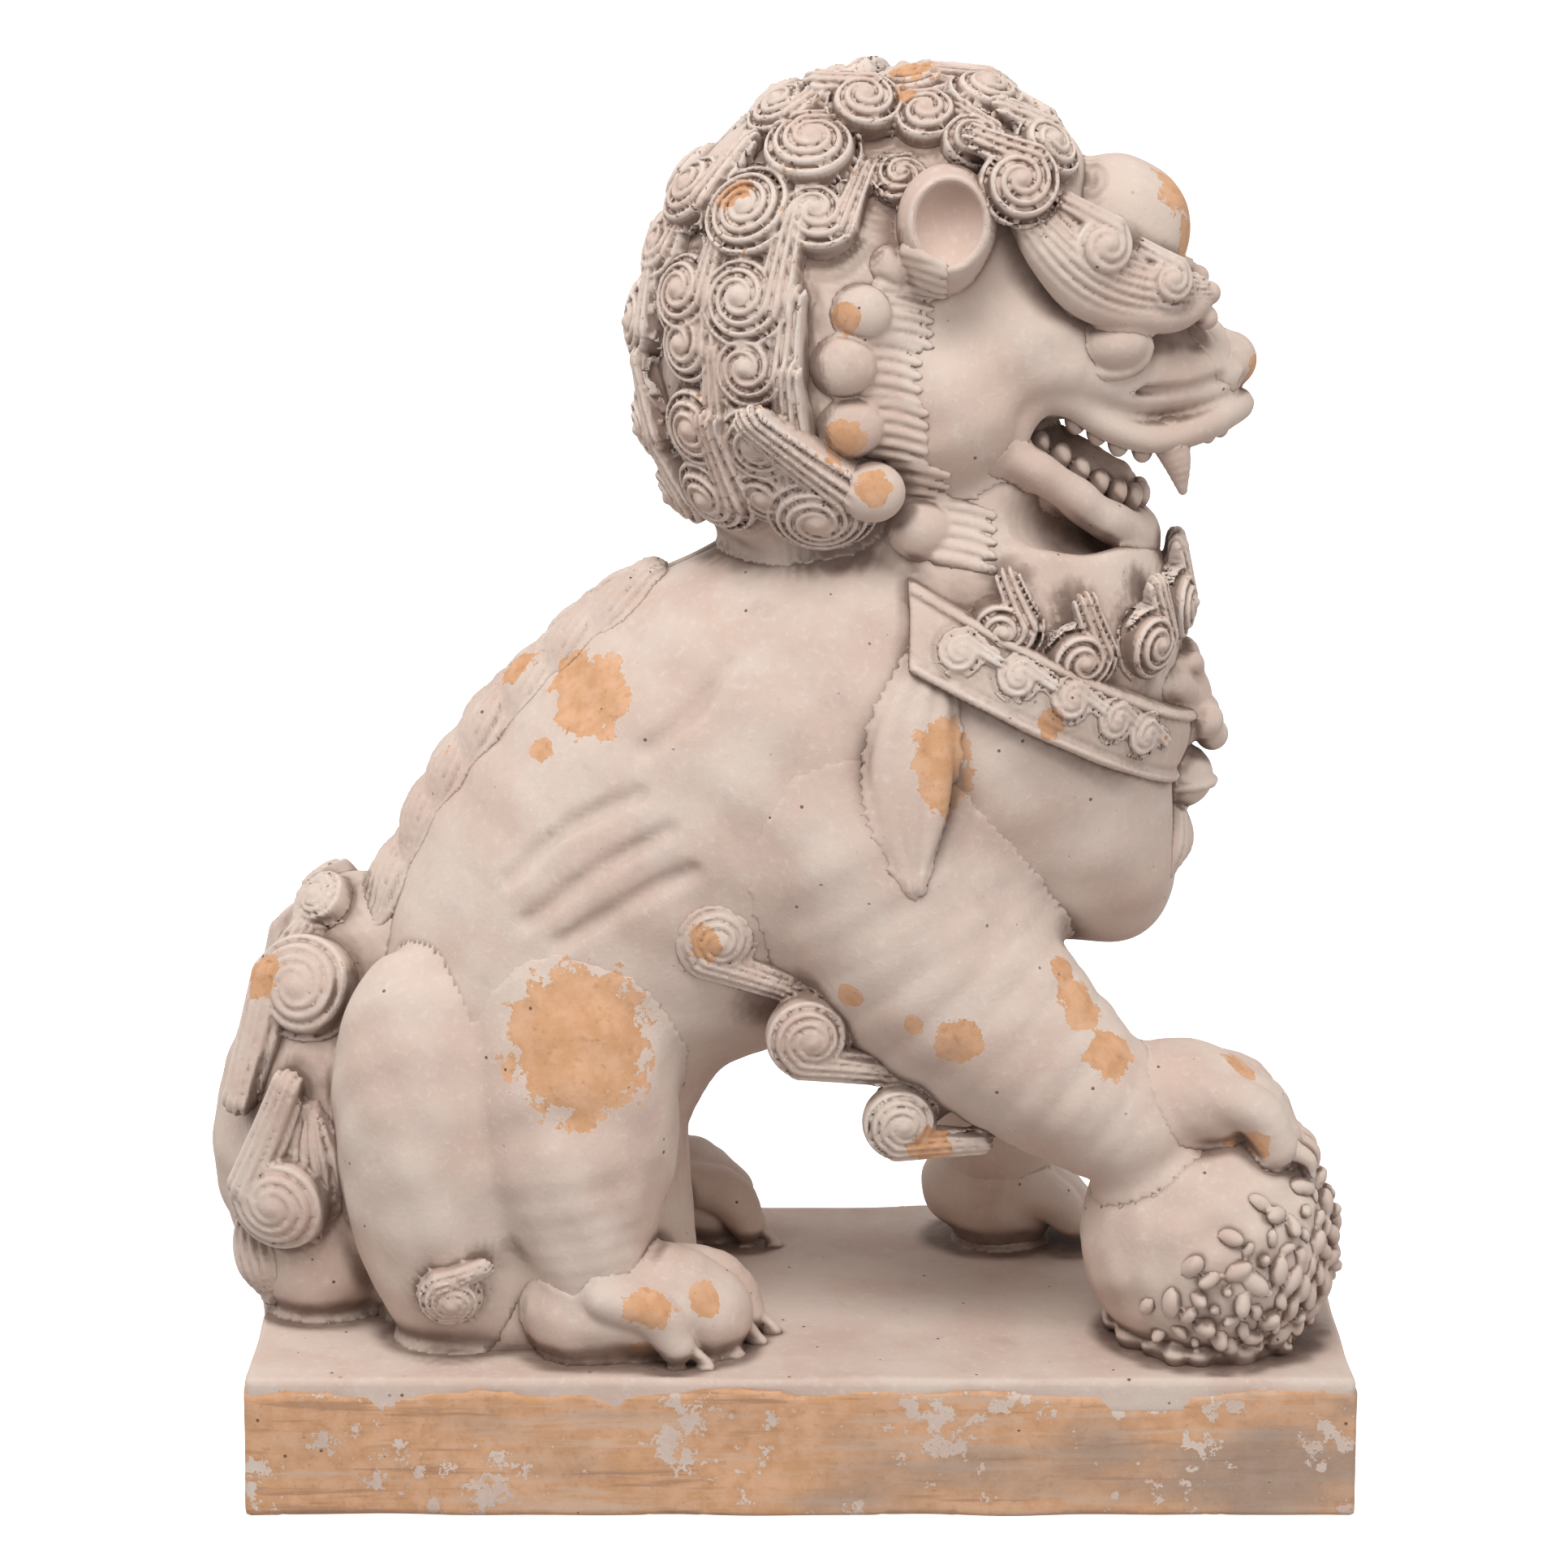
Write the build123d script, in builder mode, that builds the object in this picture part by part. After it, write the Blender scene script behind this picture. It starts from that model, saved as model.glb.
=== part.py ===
"""Guardian lion statue, hollow terracotta, built from press-moulded and hand-modelled pieces.

Millimetres, +Z up. The lion looks along +X and its right side faces -Y. The origin is the centre
of the plinth's underside. Pieces are joined face to face, as clay is luted with slip.
"""

import os
from math import cos, pi, radians, sin, sqrt

from build123d import *

os.makedirs("parts", exist_ok=True)

# ---- driving dimensions -------------------------------------------------------------------
PLINTH_LENGTH = 460.0
PLINTH_DEPTH = 220.0
PLINTH_HEIGHT = 60.0
SLAB = 16.0  # thickness of the plinth's top slab
WALL = 14.0  # thickness of the plinth's walls
CLAY = 13.0  # wall of the hollow body and head
VENT_RADIUS = 30.0  # hole that lets the body's void breathe in the kiln
VENT_X = -115.0
COLLAR_WIDTH = 26.0
COLLAR_PROUD = 6.0
COLLAR_END_X = 55.0  # the strap's ends pass under the mane here

RIGHT, LEFT = -1, 1  # sign of Y

# The body is a tube of ellipses along the back: (x, z, tilt of the section's normal above +X,
# half height, half width).
BODY_SECTIONS = (
    (-115, PLINTH_HEIGHT, 90, 72, 76),
    (-118, 150, 80, 72, 80),
    (-90, 225, 60, 85, 80),
    (-25, 278, 47, 104, 84),
    (35, 305, 45, 108, 86),
    (75, 352, 62, 85, 72),
    (62, 420, 85, 60, 56),
)
COLLAR_SECTION = 5  # the collar lies on this section of the body

# The mane's bed is an ellipsoid: centre and radii.
MANE_CENTRE = (12.0, 0.0, 478.0)
MANE_RADII = (74.0, 78.0, 102.0)
CROWN_CENTRE = (66.0, 0.0, 520.0)
CROWN_RADII = (66.0, 62.0, 64.0)

BALL_CENTRE = (171.0, -54.0, 104.0)
BALL_RADIUS = 53.0


# ---- helpers ------------------------------------------------------------------------------
def section_plane(x, z, tilt, shift=0.0):
    """The plane of one body section; its own X points to the back, its Z along the body."""
    c, s = cos(radians(tilt)), sin(radians(tilt))
    return Plane(origin=(x + shift * c, 0, z + shift * s), x_dir=(-s, 0, c), z_dir=(c, 0, s))


def body_tube(grow, lengthen=0.0):
    """The body's tube, grown outwards by a distance and lengthened at both ends."""
    last = len(BODY_SECTIONS) - 1
    with BuildPart() as tube:
        for i, (x, z, tilt, high, wide) in enumerate(BODY_SECTIONS):
            shift = {0: -lengthen, last: lengthen}.get(i, 0.0)
            with BuildSketch(section_plane(x, z, tilt, shift)):
                Ellipse(high + grow, wide + grow)
        loft()
    return tube.part


def ellipsoid(centre, radii, pitch=0.0, yaw=0.0):
    """A solid ellipsoid; pitch lifts its +X end, yaw turns it about +Z."""
    with BuildPart() as blob:
        Sphere(1)
        scale(by=radii)
    return blob.part.moved(Location(centre, (0, -pitch, yaw)))


def limb(start, start_radius, end, end_radius):
    """A tapered limb with round ends from one joint to the next."""
    a, b = Vector(*start), Vector(*end)
    with BuildPart() as bone:
        with BuildSketch(Plane(origin=a, z_dir=(b - a))):
            Circle(start_radius)
        with BuildSketch(Plane(origin=b, z_dir=(b - a))):
            Circle(end_radius)
        loft()
        with Locations(a):
            Sphere(start_radius)
        with Locations(b):
            Sphere(end_radius)
    return bone.part


def snail_curl(radius, root=14.0):
    """A curl of hair as a stepped button: three discs, each smaller and higher, like a snail's shell."""
    with BuildPart() as curl:
        with BuildSketch(Plane.XY.offset(-root)):
            Circle(radius)
        extrude(amount=root + 0.22 * radius)
        for share, top in ((0.68, 0.42), (0.36, 0.6)):
            with BuildSketch():
                Circle(share * radius)
            extrude(amount=top * radius)
    return curl.part


def surface_plane(centre, radii, point, fixed):
    """The tangent plane of an ellipsoid above a point given without its fixed axis.

    point holds all three coordinates; the one named by fixed only gives the side by its sign.
    """
    k = "xyz".index(fixed)
    p = [point[i] - centre[i] for i in range(3)]
    rest = sum((p[i] / radii[i]) ** 2 for i in range(3) if i != k)
    p[k] = (1 if point[k] > centre[k] else -1) * radii[k] * sqrt(max(0.02, 1 - rest))
    normal = [p[i] / radii[i] ** 2 for i in range(3)]
    return Plane(origin=[centre[i] + p[i] for i in range(3)], z_dir=normal)


def curls_on(centre, radii, fixed, curls):
    """Curls standing on an ellipsoid: each is (x, y, z, curl radius)."""
    with BuildPart() as group:
        for x, y, z, r in curls:
            place = surface_plane(centre, radii, (x, y, z), fixed)
            add(snail_curl(r).moved(place.location))
    return group.part


def finished(name, shape, *neighbours):
    """Cuts a piece to its neighbours' faces, labels it and writes its file."""
    with BuildPart() as piece:
        add(shape)
        for other in neighbours:
            add(other, mode=Mode.SUBTRACT)
    piece.part.label = name
    export_step(piece.part, f"parts/{name}.step")
    return piece.part


# ---- plinth: a slab on four walls and a cross web, open below ------------------------------
wall_height = PLINTH_HEIGHT - SLAB
with BuildPart() as plinth_top_slab:
    with BuildSketch(Plane.XY.offset(wall_height)):
        Rectangle(PLINTH_LENGTH, PLINTH_DEPTH)
        with Locations((VENT_X, 0)):
            Circle(VENT_RADIUS, mode=Mode.SUBTRACT)
    extrude(amount=SLAB)
slab = finished("plinth_top_slab", plinth_top_slab.part)

for name, side in (("plinth_right_wall", RIGHT), ("plinth_left_wall", LEFT)):
    with BuildPart() as long_wall:
        with BuildSketch():
            with Locations((0, side * (PLINTH_DEPTH - WALL) / 2)):
                Rectangle(PLINTH_LENGTH, WALL)
        extrude(amount=wall_height)
    finished(name, long_wall.part)

inner_depth = PLINTH_DEPTH - 2 * WALL
for name, x in (
    ("plinth_front_wall", (PLINTH_LENGTH - WALL) / 2),
    ("plinth_rear_wall", -(PLINTH_LENGTH - WALL) / 2),
    ("plinth_cross_web", 0.0),
):
    with BuildPart() as short_wall:
        with BuildSketch():
            with Locations((x, 0)):
                Rectangle(WALL, inner_depth)
        extrude(amount=wall_height)
    finished(name, short_wall.part)

# ---- body: two press-moulded halves, joined on the middle plane ----------------------------
body = body_tube(0.0)
body_void = body_tube(-CLAY, lengthen=2.0)
for name, keep in (("torso_right_half", Keep.TOP), ("torso_left_half", Keep.BOTTOM)):
    with BuildPart() as torso_half:
        add(body)
        add(body_void, mode=Mode.SUBTRACT)
        split(bisect_by=Plane.XZ, keep=keep)
    finished(name, torso_half.part, slab)

# ---- head: two hollow halves with the muzzle, seated over the neck ------------------------
MUZZLE_SECTIONS = (  # (x, z, half width, half height)
    (70, 478, 62, 52),
    (112, 468, 50, 34),
    (150, 464, 42, 26),
    (174, 462, 30, 19),
)
with BuildPart() as muzzle:
    for x, z, wide, high in MUZZLE_SECTIONS:
        with BuildSketch(Plane(origin=(x, 0, z), x_dir=(0, 1, 0), z_dir=(1, 0, 0))):
            Ellipse(wide, high)
    loft()
mane_bed = ellipsoid(MANE_CENTRE, MANE_RADII)
crown_bed = ellipsoid(CROWN_CENTRE, CROWN_RADII)
with BuildPart() as head_mass:
    add(mane_bed)
    add(crown_bed)
    add(muzzle.part)
    add(body, mode=Mode.SUBTRACT)
head = head_mass.part
head_void = ellipsoid((40, 0, 487), (72, 54, 72))
for name, keep in (("head_right_half", Keep.TOP), ("head_left_half", Keep.BOTTOM)):
    with BuildPart() as head_half:
        add(head)
        add(head_void, mode=Mode.SUBTRACT)
        split(bisect_by=Plane.XZ, keep=keep)
    finished(name, head_half.part, body)
skull = (mane_bed, crown_bed)
face = (crown_bed, muzzle.part)

# ---- face ---------------------------------------------------------------------------------
BOSS_RADIUS, NOSE_RADIUS, EYE_RADIUS, EAR_RADIUS, EAR_BOWL_RADIUS = 29, 11, 13, 20, 15
boss = finished("forehead_boss", limb((122, -10, 521), BOSS_RADIUS, (122, 10, 521), BOSS_RADIUS), *face)
nose = finished("nose", limb((176, -8, 468), NOSE_RADIUS, (176, 8, 468), NOSE_RADIUS), muzzle.part)

with BuildPart() as jaw_plate:
    with BuildSketch(Plane.XZ):
        with BuildLine():
            Spline((76, 440), (96, 428), (116, 416), (133, 413), (147, 417))
            Spline((147, 417), (148, 407), (140, 399))
            Spline((140, 399), (124, 400), (106, 408), (84, 412), (62, 410))
            Line((62, 410), (76, 440))
        make_face()
    extrude(amount=42, both=True)
    with BuildSketch(Plane.XY.offset(390)):
        with Locations((90, 0)):
            Ellipse(60, 42)
    extrude(amount=60, mode=Mode.INTERSECT)
jaw = finished("lower_jaw", jaw_plate.part, head, body)

tongue = finished("tongue", limb((96, 0, 429), 8, (128, 0, 420), 7), jaw, body)


def tooth_row(x_front, x_back, half_width, z_front, z_back, radius, pairs):
    """Rounded teeth along a curved gum from the front to both corners of the mouth."""
    with BuildPart() as row:
        for i in range(pairs):
            t = (i + 0.5) / pairs
            x = x_front + (x_back - x_front) * t**1.6
            z = z_front + (z_back - z_front) * t**1.6
            y = half_width * sqrt(t)
            with Locations((x, y, z), (x, -y, z)):
                Sphere(radius)
    return row.part


lower_teeth = finished("lower_teeth", tooth_row(141, 100, 33, 418, 429, 4.2, 6), jaw)
upper_teeth = finished("upper_teeth", tooth_row(164, 112, 31, 445, 440, 4.2, 6), muzzle.part)
with BuildPart() as fang_pair:
    for side in (RIGHT, LEFT):
        add(limb((156, side * 33, 443), 7.5, (154, side * 35, 421), 1.8))
finished("upper_fangs", fang_pair.part, muzzle.part, upper_teeth)

for label, side in (("right", RIGHT), ("left", LEFT)):
    with BuildPart() as eye_ball:
        with Locations((127, side * 44, 485)):
            Sphere(EYE_RADIUS)
    eye = finished(f"{label}_eye", eye_ball.part, *face)
    with BuildPart() as brow_ridge:
        add(limb((106, side * 57, 528), 11, (158, side * 30, 499), 9))
        with Locations((112, side * 62, 531), (143, side * 48, 512)):
            Sphere(11)
    brow = finished(f"{label}_brow", brow_ridge.part, *face, boss, eye)
    with BuildPart() as ear_cup:
        Cylinder(EAR_RADIUS, 26, align=(Align.CENTER, Align.CENTER, Align.MAX))
        Sphere(EAR_BOWL_RADIUS, mode=Mode.SUBTRACT)
    ear_plane = Plane(origin=(57, side * 84, 531), z_dir=(0.35, side, 0.1))
    finished(f"{label}_ear", ear_cup.part.moved(ear_plane.location), *skull, brow)

# ---- mane: snail curls in groups, each group laid on after the last ------------------------
SIDE_CURLS = (  # (x, z, radius)
    (-22, 538, 15),
    (6, 540, 13),
    (-20, 503, 15),
    (-16, 470, 16),
    (-14, 434, 17),
    (8, 401, 18),
    (-40, 408, 13),
    (-10, 572, 15),
)
BACK_CURLS = (  # (y, z, radius)
    (0, 553, 12.5),
    (-26, 530, 12.5),
    (26, 530, 12.5),
    (0, 520, 12.5),
    (-27, 498, 12.5),
    (27, 498, 12.5),
    (0, 486, 12.5),
    (-27, 465, 12.5),
    (27, 465, 12.5),
    (0, 452, 12.5),
    (-26, 431, 12.5),
    (26, 431, 12.5),
    (0, 418, 12.5),
)
CROWN_CURLS = (  # (x, y, radius)
    (44, 0, 17),
    (66, -25, 12),
    (66, 25, 12),
    (34, -34, 14),
    (34, 34, 14),
    (82, 0, 12),
)
TEMPLE_CURLS = ((84, 541, 9), (78, 561, 9))  # (x, z, radius) beside the brow's root
for label, side in (("right", RIGHT), ("left", LEFT)):
    curls = [(x, side, z, r) for x, z, r in SIDE_CURLS]
    group = curls_on(MANE_CENTRE, MANE_RADII, "y", curls)
    finished(f"{label}_mane_curls", group, *skull, body)
back = curls_on(MANE_CENTRE, MANE_RADII, "x", [(-1, y, z, r) for y, z, r in BACK_CURLS])
finished("back_mane_curls", back, *skull)
crown = curls_on(CROWN_CENTRE, CROWN_RADII, "z", [(x, y, 600, r) for x, y, r in CROWN_CURLS])
finished("crown_curls", crown, *skull)
with BuildPart() as temples:
    for side in (RIGHT, LEFT):
        add(curls_on(CROWN_CENTRE, CROWN_RADII, "y", [(x, side, z, r) for x, z, r in TEMPLE_CURLS]))
finished("temple_curls", temples.part, crown_bed)

BEARD_LINE = ((52, 498, 9), (50, 478, 11), (48, 456, 12), (54, 432, 12), (68, 412, 11), (92, 402, 13))
for label, side in (("right", RIGHT), ("left", LEFT)):
    with BuildPart() as beads:
        for x, z, r in BEARD_LINE:
            with Locations((x, side * (78 - 0.35 * abs(x - 50)), z)):
                Sphere(r)
    finished(f"{label}_jaw_beads", beads.part, head, body)

with BuildPart() as beard:
    for side in (RIGHT, LEFT):
        add(limb((134, side * 18, 392), 9, (116, side * 40, 366), 11))
    add(limb((143, 0, 392), 9, (152, 0, 358), 9))
finished("beard_curls", beard.part, body, jaw)

# ---- hind quarters ------------------------------------------------------------------------
haunches, forelegs = [], []
with BuildPart() as below_slab_top:  # everything under the plinth's upper face
    with BuildSketch():
        Rectangle(2 * PLINTH_LENGTH, 2 * PLINTH_DEPTH)
    extrude(amount=PLINTH_HEIGHT)
ground = below_slab_top.part
for label, side in (("right", RIGHT), ("left", LEFT)):
    with BuildPart() as thigh:
        add(ellipsoid((-124, side * 62, 148), (72, 36, 84), pitch=12))
        add(limb((-78, side * 68, 160), 30, (-78, side * 74, 82), 24))
    haunch = finished(f"{label}_haunch", thigh.part, body, ground)
    haunches.append(haunch)
    with BuildPart() as foot:
        add(limb((-70, side * 72, 74), 20, (-50, side * 72, 72), 18))
        for i in range(4):
            add(limb((-48, side * (54 + 11 * i), 74), 9, (-24, side * (53 + 11 * i), 67), 8))
    finished(f"{label}_hind_foot", foot.part, body, ground, haunch)
    hock = snail_curl(14).moved(Plane(origin=(-145, side * 92, 84), z_dir=(0, side, 0)).location)
    finished(f"{label}_hock_curl", hock, ground, haunch, body)

# ---- ball under the right forepaw -----------------------------------------------------------
with BuildPart() as ball_body:
    with Locations(BALL_CENTRE):
        Sphere(BALL_RADIUS)
finished("ball", ball_body.part, ground)

# ---- forelegs and paws ----------------------------------------------------------------------
LEG_JOINTS = {  # shoulder, wrist, paw centre and the direction of the toes
    "right": ((42, -50, 272), (152, -62, 184), (168, -56, 176), (32, 0, -14)),
    "left": ((42, 50, 272), (84, 66, 92), (94, 68, 74), (26, 0, -6)),
}
SHOULDER_RADIUS, WRIST_RADIUS, PALM_RADIUS = 47, 24, 22
TOES, TOE_PITCH, TOE_ROOT_RADIUS, TOE_TIP_RADIUS = 4, 12, 10, 8.5
for label, (shoulder, wrist, palm, reach) in LEG_JOINTS.items():
    leg = finished(f"{label}_foreleg", limb(shoulder, SHOULDER_RADIUS, wrist, WRIST_RADIUS), body)
    forelegs.append(leg)
    with BuildPart() as paw_mass:
        with Locations(palm):
            Sphere(PALM_RADIUS)
        for i in range(TOES):
            root = (palm[0] + 6, palm[1] - 18 + TOE_PITCH * i, palm[2] + 6)
            tip = (root[0] + reach[0], root[1], root[2] + reach[2])
            add(limb(root, TOE_ROOT_RADIUS, tip, TOE_TIP_RADIUS))
    paw = finished(f"{label}_forepaw", paw_mass.part, ground, ball_body.part, leg)
    with BuildPart() as claws:
        for i in range(TOES):
            y = palm[1] - 18 + TOE_PITCH * i
            tip = (palm[0] + 6 + reach[0], palm[2] + 6 + reach[2])
            add(limb((tip[0] + 6, y, tip[1] + 1), 3.6, (tip[0] + 15, y, tip[1] - 8), 1.4))
    finished(f"{label}_fore_claws", claws.part, ground, paw)

SPRIG_RADIUS = 11.0
SPRIG_PROUD = 4.0
SPRIG_ROOT = 12.0  # how deep a sprig starts inside the ball before it is cut to the ball's face
with BuildPart() as sprigs:
    for turn in range(0, 360, 60):
        outwards = (cos(radians(turn)), sin(radians(turn)), 0)
        sprig_bed = Plane(origin=BALL_CENTRE, z_dir=outwards).offset(BALL_RADIUS - SPRIG_ROOT)
        with BuildSketch(sprig_bed):
            Circle(SPRIG_RADIUS)
        extrude(amount=SPRIG_ROOT + SPRIG_PROUD)
finished("ball_sprigs", sprigs.part, ball_body.part)

ELBOW_CURLS = ((-39, 236, 13), (-1, 194, 17), (38, 160, 14))  # (x, z, radius)
for label, side, leg in (("right", RIGHT, forelegs[0]), ("left", LEFT, forelegs[1])):
    with BuildPart() as fringe:
        for x, z, r in ELBOW_CURLS:
            place = Plane(origin=(x, side * 76, z), z_dir=(0, side, 0))
            add(snail_curl(r, root=18).moved(place.location))
            add(limb((x + 8, side * 70, z - 0.6 * r), 7, (x + 40, side * 66, z - 2 * r + 6), 4))
    finished(f"{label}_elbow_curls", fringe.part, body, leg)
    flap = limb((48, side * 78, 286), 13, (53, side * 78, 330), 13)
    finished(f"{label}_shoulder_flap", flap, body, leg)

# ---- collar -----------------------------------------------------------------------------------
cx, cz, ctilt, chigh, cwide = BODY_SECTIONS[COLLAR_SECTION]
collar_plane = section_plane(cx, cz, ctilt)
with BuildPart() as collar:
    with BuildSketch(collar_plane.offset(-COLLAR_WIDTH / 2)):
        Ellipse(3 * chigh, 3 * cwide)
    extrude(amount=COLLAR_WIDTH)
    add(body_tube(COLLAR_PROUD), mode=Mode.INTERSECT)
    split(bisect_by=Plane.YZ.offset(COLLAR_END_X), keep=Keep.TOP)
collar_band = finished("collar_band", collar.part, body)

with BuildPart() as scrolls:
    for i in range(-6, 7):
        if i:
            angle = pi + i * 0.21
            across, along = (chigh + COLLAR_PROUD) * cos(angle), (cwide + COLLAR_PROUD) * sin(angle)
            spot = collar_plane.from_local_coords(Vector(across, along, 0))
            with Locations(spot):
                Sphere(5.5)
scroll_row = finished("collar_scrolls", scrolls.part, collar_band)

front = collar_plane.from_local_coords(Vector(-(chigh + COLLAR_PROUD), 0, 0))
with BuildPart() as bow:
    add(limb((front.X - 2, -8, front.Z), 18, (front.X - 2, 8, front.Z), 18))
    with Locations((front.X + 15, 0, front.Z - 3)):
        Sphere(6)
mask = finished("collar_mask", bow.part, body, collar_band, scroll_row)
with BuildPart() as bell_body:
    with Locations((front.X + 2, 0, front.Z - 32)):
        Sphere(13)
bell = finished("collar_bell", bell_body.part, body, mask, collar_band)
with BuildPart() as tassel:
    for z, long, wide in ((front.Z - 42, 9, 12), (front.Z - 52, 15, 18), (front.Z - 64, 17, 24)):
        with BuildSketch(Plane(origin=(front.X - 2 - (front.Z - 42 - z) * 0.2, 0, z))):
            Ellipse(long, wide)
    loft()
finished("collar_tassel", tassel.part, body, mask, bell)

# ---- tail and spine -------------------------------------------------------------------------
TAIL_SECTIONS = (  # (x, z, half length, half width)
    (-203, PLINTH_HEIGHT, 30, 40),
    (-222, 120, 35, 48),
    (-212, 180, 32, 44),
    (-196, 230, 20, 30),
    (-188, 252, 8, 12),
)
with BuildPart() as tail_mass:
    for x, z, long, wide in TAIL_SECTIONS:
        with BuildSketch(Plane(origin=(x, 0, z))):
            Ellipse(long, wide)
    loft()
tail = finished("tail_core", tail_mass.part, body, *haunches, ground)
for label, side in (("right", RIGHT), ("left", LEFT)):
    with BuildPart() as tail_group:
        for x, y, z, r in ((-204, 40, 208, 17), (-216, 46, 132, 18)):
            place = Plane(origin=(x, side * y, z), z_dir=(-0.25, side, 0.1))
            add(snail_curl(r, root=16).moved(place.location))
            add(limb((x + 8, side * (y - 2), z - 12), 8, (x - 16, side * (y - 10), z - 30), 6))
    finished(f"{label}_tail_curls", tail_group.part, tail, body, *haunches)

SPINE_LOCKS = 6
with BuildPart() as spine:
    first, last = (-92, 364), (-176, 250)
    for i in range(SPINE_LOCKS):
        t = i / (SPINE_LOCKS - 1)
        x = first[0] + (last[0] - first[0]) * t
        z = first[1] + (last[1] - first[1]) * t + 10 * sin(pi * t)
        slope = radians(42 + 22 * t)
        step = (13 * cos(slope), 13 * sin(slope))
        add(limb((x - step[0], 0, z - step[1]), 9, (x + step[0], 0, z + step[1]), 12))
finished("spine_locks", spine.part, body, tail, mane_bed)
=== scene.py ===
"""Guardian lion of hollow terracotta under worn limewash, sculpted as separate clay pieces.

Every piece is a clay form known by its signed distance in millimetres. A piece is laid on the
pieces made before it: its edge is smoothed into them, and only the clay it adds becomes its mesh.
"""

import logging
import math
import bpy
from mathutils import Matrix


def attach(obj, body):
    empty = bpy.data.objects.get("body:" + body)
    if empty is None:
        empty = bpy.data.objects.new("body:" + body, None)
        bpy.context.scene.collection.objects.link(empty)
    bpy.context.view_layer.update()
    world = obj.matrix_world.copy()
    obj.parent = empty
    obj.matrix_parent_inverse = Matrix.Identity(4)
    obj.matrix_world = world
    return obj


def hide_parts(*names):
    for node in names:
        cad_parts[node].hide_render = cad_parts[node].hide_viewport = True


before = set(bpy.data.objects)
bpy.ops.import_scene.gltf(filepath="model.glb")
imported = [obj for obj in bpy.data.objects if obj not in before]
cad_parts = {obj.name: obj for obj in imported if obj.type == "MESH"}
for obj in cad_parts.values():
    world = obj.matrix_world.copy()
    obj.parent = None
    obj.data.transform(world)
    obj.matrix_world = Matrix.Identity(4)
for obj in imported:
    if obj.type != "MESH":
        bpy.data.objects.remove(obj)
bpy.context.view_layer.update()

from concurrent.futures import ThreadPoolExecutor
from dataclasses import dataclass, field
from enum import Enum
from typing import Callable, Iterable, Sequence

import bpy
import numpy as np
from mathutils import Vector

LOG = logging.getLogger("lion")
MM = 0.001
FAR = 1.0e4
SEED = 7
RIGHT, LEFT = -1.0, 1.0
SIDES = (("right", RIGHT), ("left", LEFT))
TINY = 1e-9

BLOCK = 8  # cells along the side of a block that is searched as a whole
BATCH = 1500  # blocks searched at a time
HALF_DIAGONAL = 0.87  # of a block, in its sides
SLACK = 2.2  # how far a blended distance may fall short of the true one
TETRAHEDRON = 0.577  # of a step, along each axis, for the four probes of a slope
PROBE = 0.22  # of a step, for the slope that a settling point follows
FARTHEST = 0.8  # of a step, that a settling point moves at once
NEAR_PLANE = 0.7  # of a step, within which a point belongs to the seam
CHUNK = 400000  # points settled at a time

HOLLOW_PROBE, CREASE_PROBE = 11.0, 2.4  # mm off the surface, where the painted shade of hollows and creases, the painted highlight of ridges and the wear are felt for
CHIP_SPREAD = 1.7  # radii over which a chip fades out
GRAINS = 420  # places for the ball's relief
GOLDEN_TURN = 2.39996  # radians from one grain to the next

Triple = Sequence[float]
Distance = Callable[[np.ndarray], np.ndarray]


# ---- clay forms -----------------------------------------------------------------------------
def unit(v: Triple) -> np.ndarray:
    """Returns the vector at length one."""
    a = np.asarray(v, np.float32)
    return a / max(float(np.linalg.norm(a)), TINY)


def smooth_min(a: np.ndarray, b: np.ndarray, blend: float) -> np.ndarray:
    """Joins two distances, rounding the crease over a blend width.

    Args:
        a: the first distance.
        b: the second distance.
        blend: width of the rounding in mm, 0 for a sharp crease.
    Returns:
        The joined distance.
    """
    if blend <= 0:
        return np.minimum(a, b)
    h = np.maximum(blend - np.abs(a - b), 0.0) / blend
    return np.minimum(a, b) - h * h * (blend * 0.25)


def smooth_step(low: float, high: float, x: np.ndarray) -> np.ndarray:
    """Returns 0 below low, 1 above high, and an eased ramp between."""
    t = np.clip((x - low) / (high - low), 0.0, 1.0)
    return t * t * (3.0 - 2.0 * t)


def through(points: Sequence[Triple], per_span: int = 5) -> np.ndarray:
    """Samples a smooth curve through given points.

    Args:
        points: places the curve passes through, each with any number of values.
        per_span: samples from one point to the next.
    Returns:
        The samples, one row each.
    """
    p = np.asarray(points, np.float32)
    p = np.vstack([2 * p[0] - p[1], p, 2 * p[-1] - p[-2]])
    t = np.linspace(0, 1, per_span, endpoint=False, dtype=np.float32)[:, None]
    spans = []
    for i in range(1, len(p) - 2):
        a, b, c, d = p[i - 1 : i + 3]
        spans.append(
            0.5 * (2 * b + (c - a) * t + (2 * a - 5 * b + 4 * c - d) * t**2 + (3 * b - a - 3 * c + d) * t**3)
        )
    return np.vstack([*spans, p[-2][None]])


class Form:
    """A lump of clay: a signed distance, and the box that holds its surface."""

    low: np.ndarray
    high: np.ndarray

    def bound(self, low: Triple, high: Triple) -> None:
        """Sets the box around the form and the ball around the box."""
        self.low, self.high = np.asarray(low, np.float32), np.asarray(high, np.float32)
        self.middle = (self.low + self.high) / 2
        self.reach = float(np.linalg.norm(self.high - self.low)) / 2

    def at(self, p: np.ndarray) -> np.ndarray:
        """Returns the distance at each point, negative inside the clay."""
        raise NotImplementedError


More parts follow.
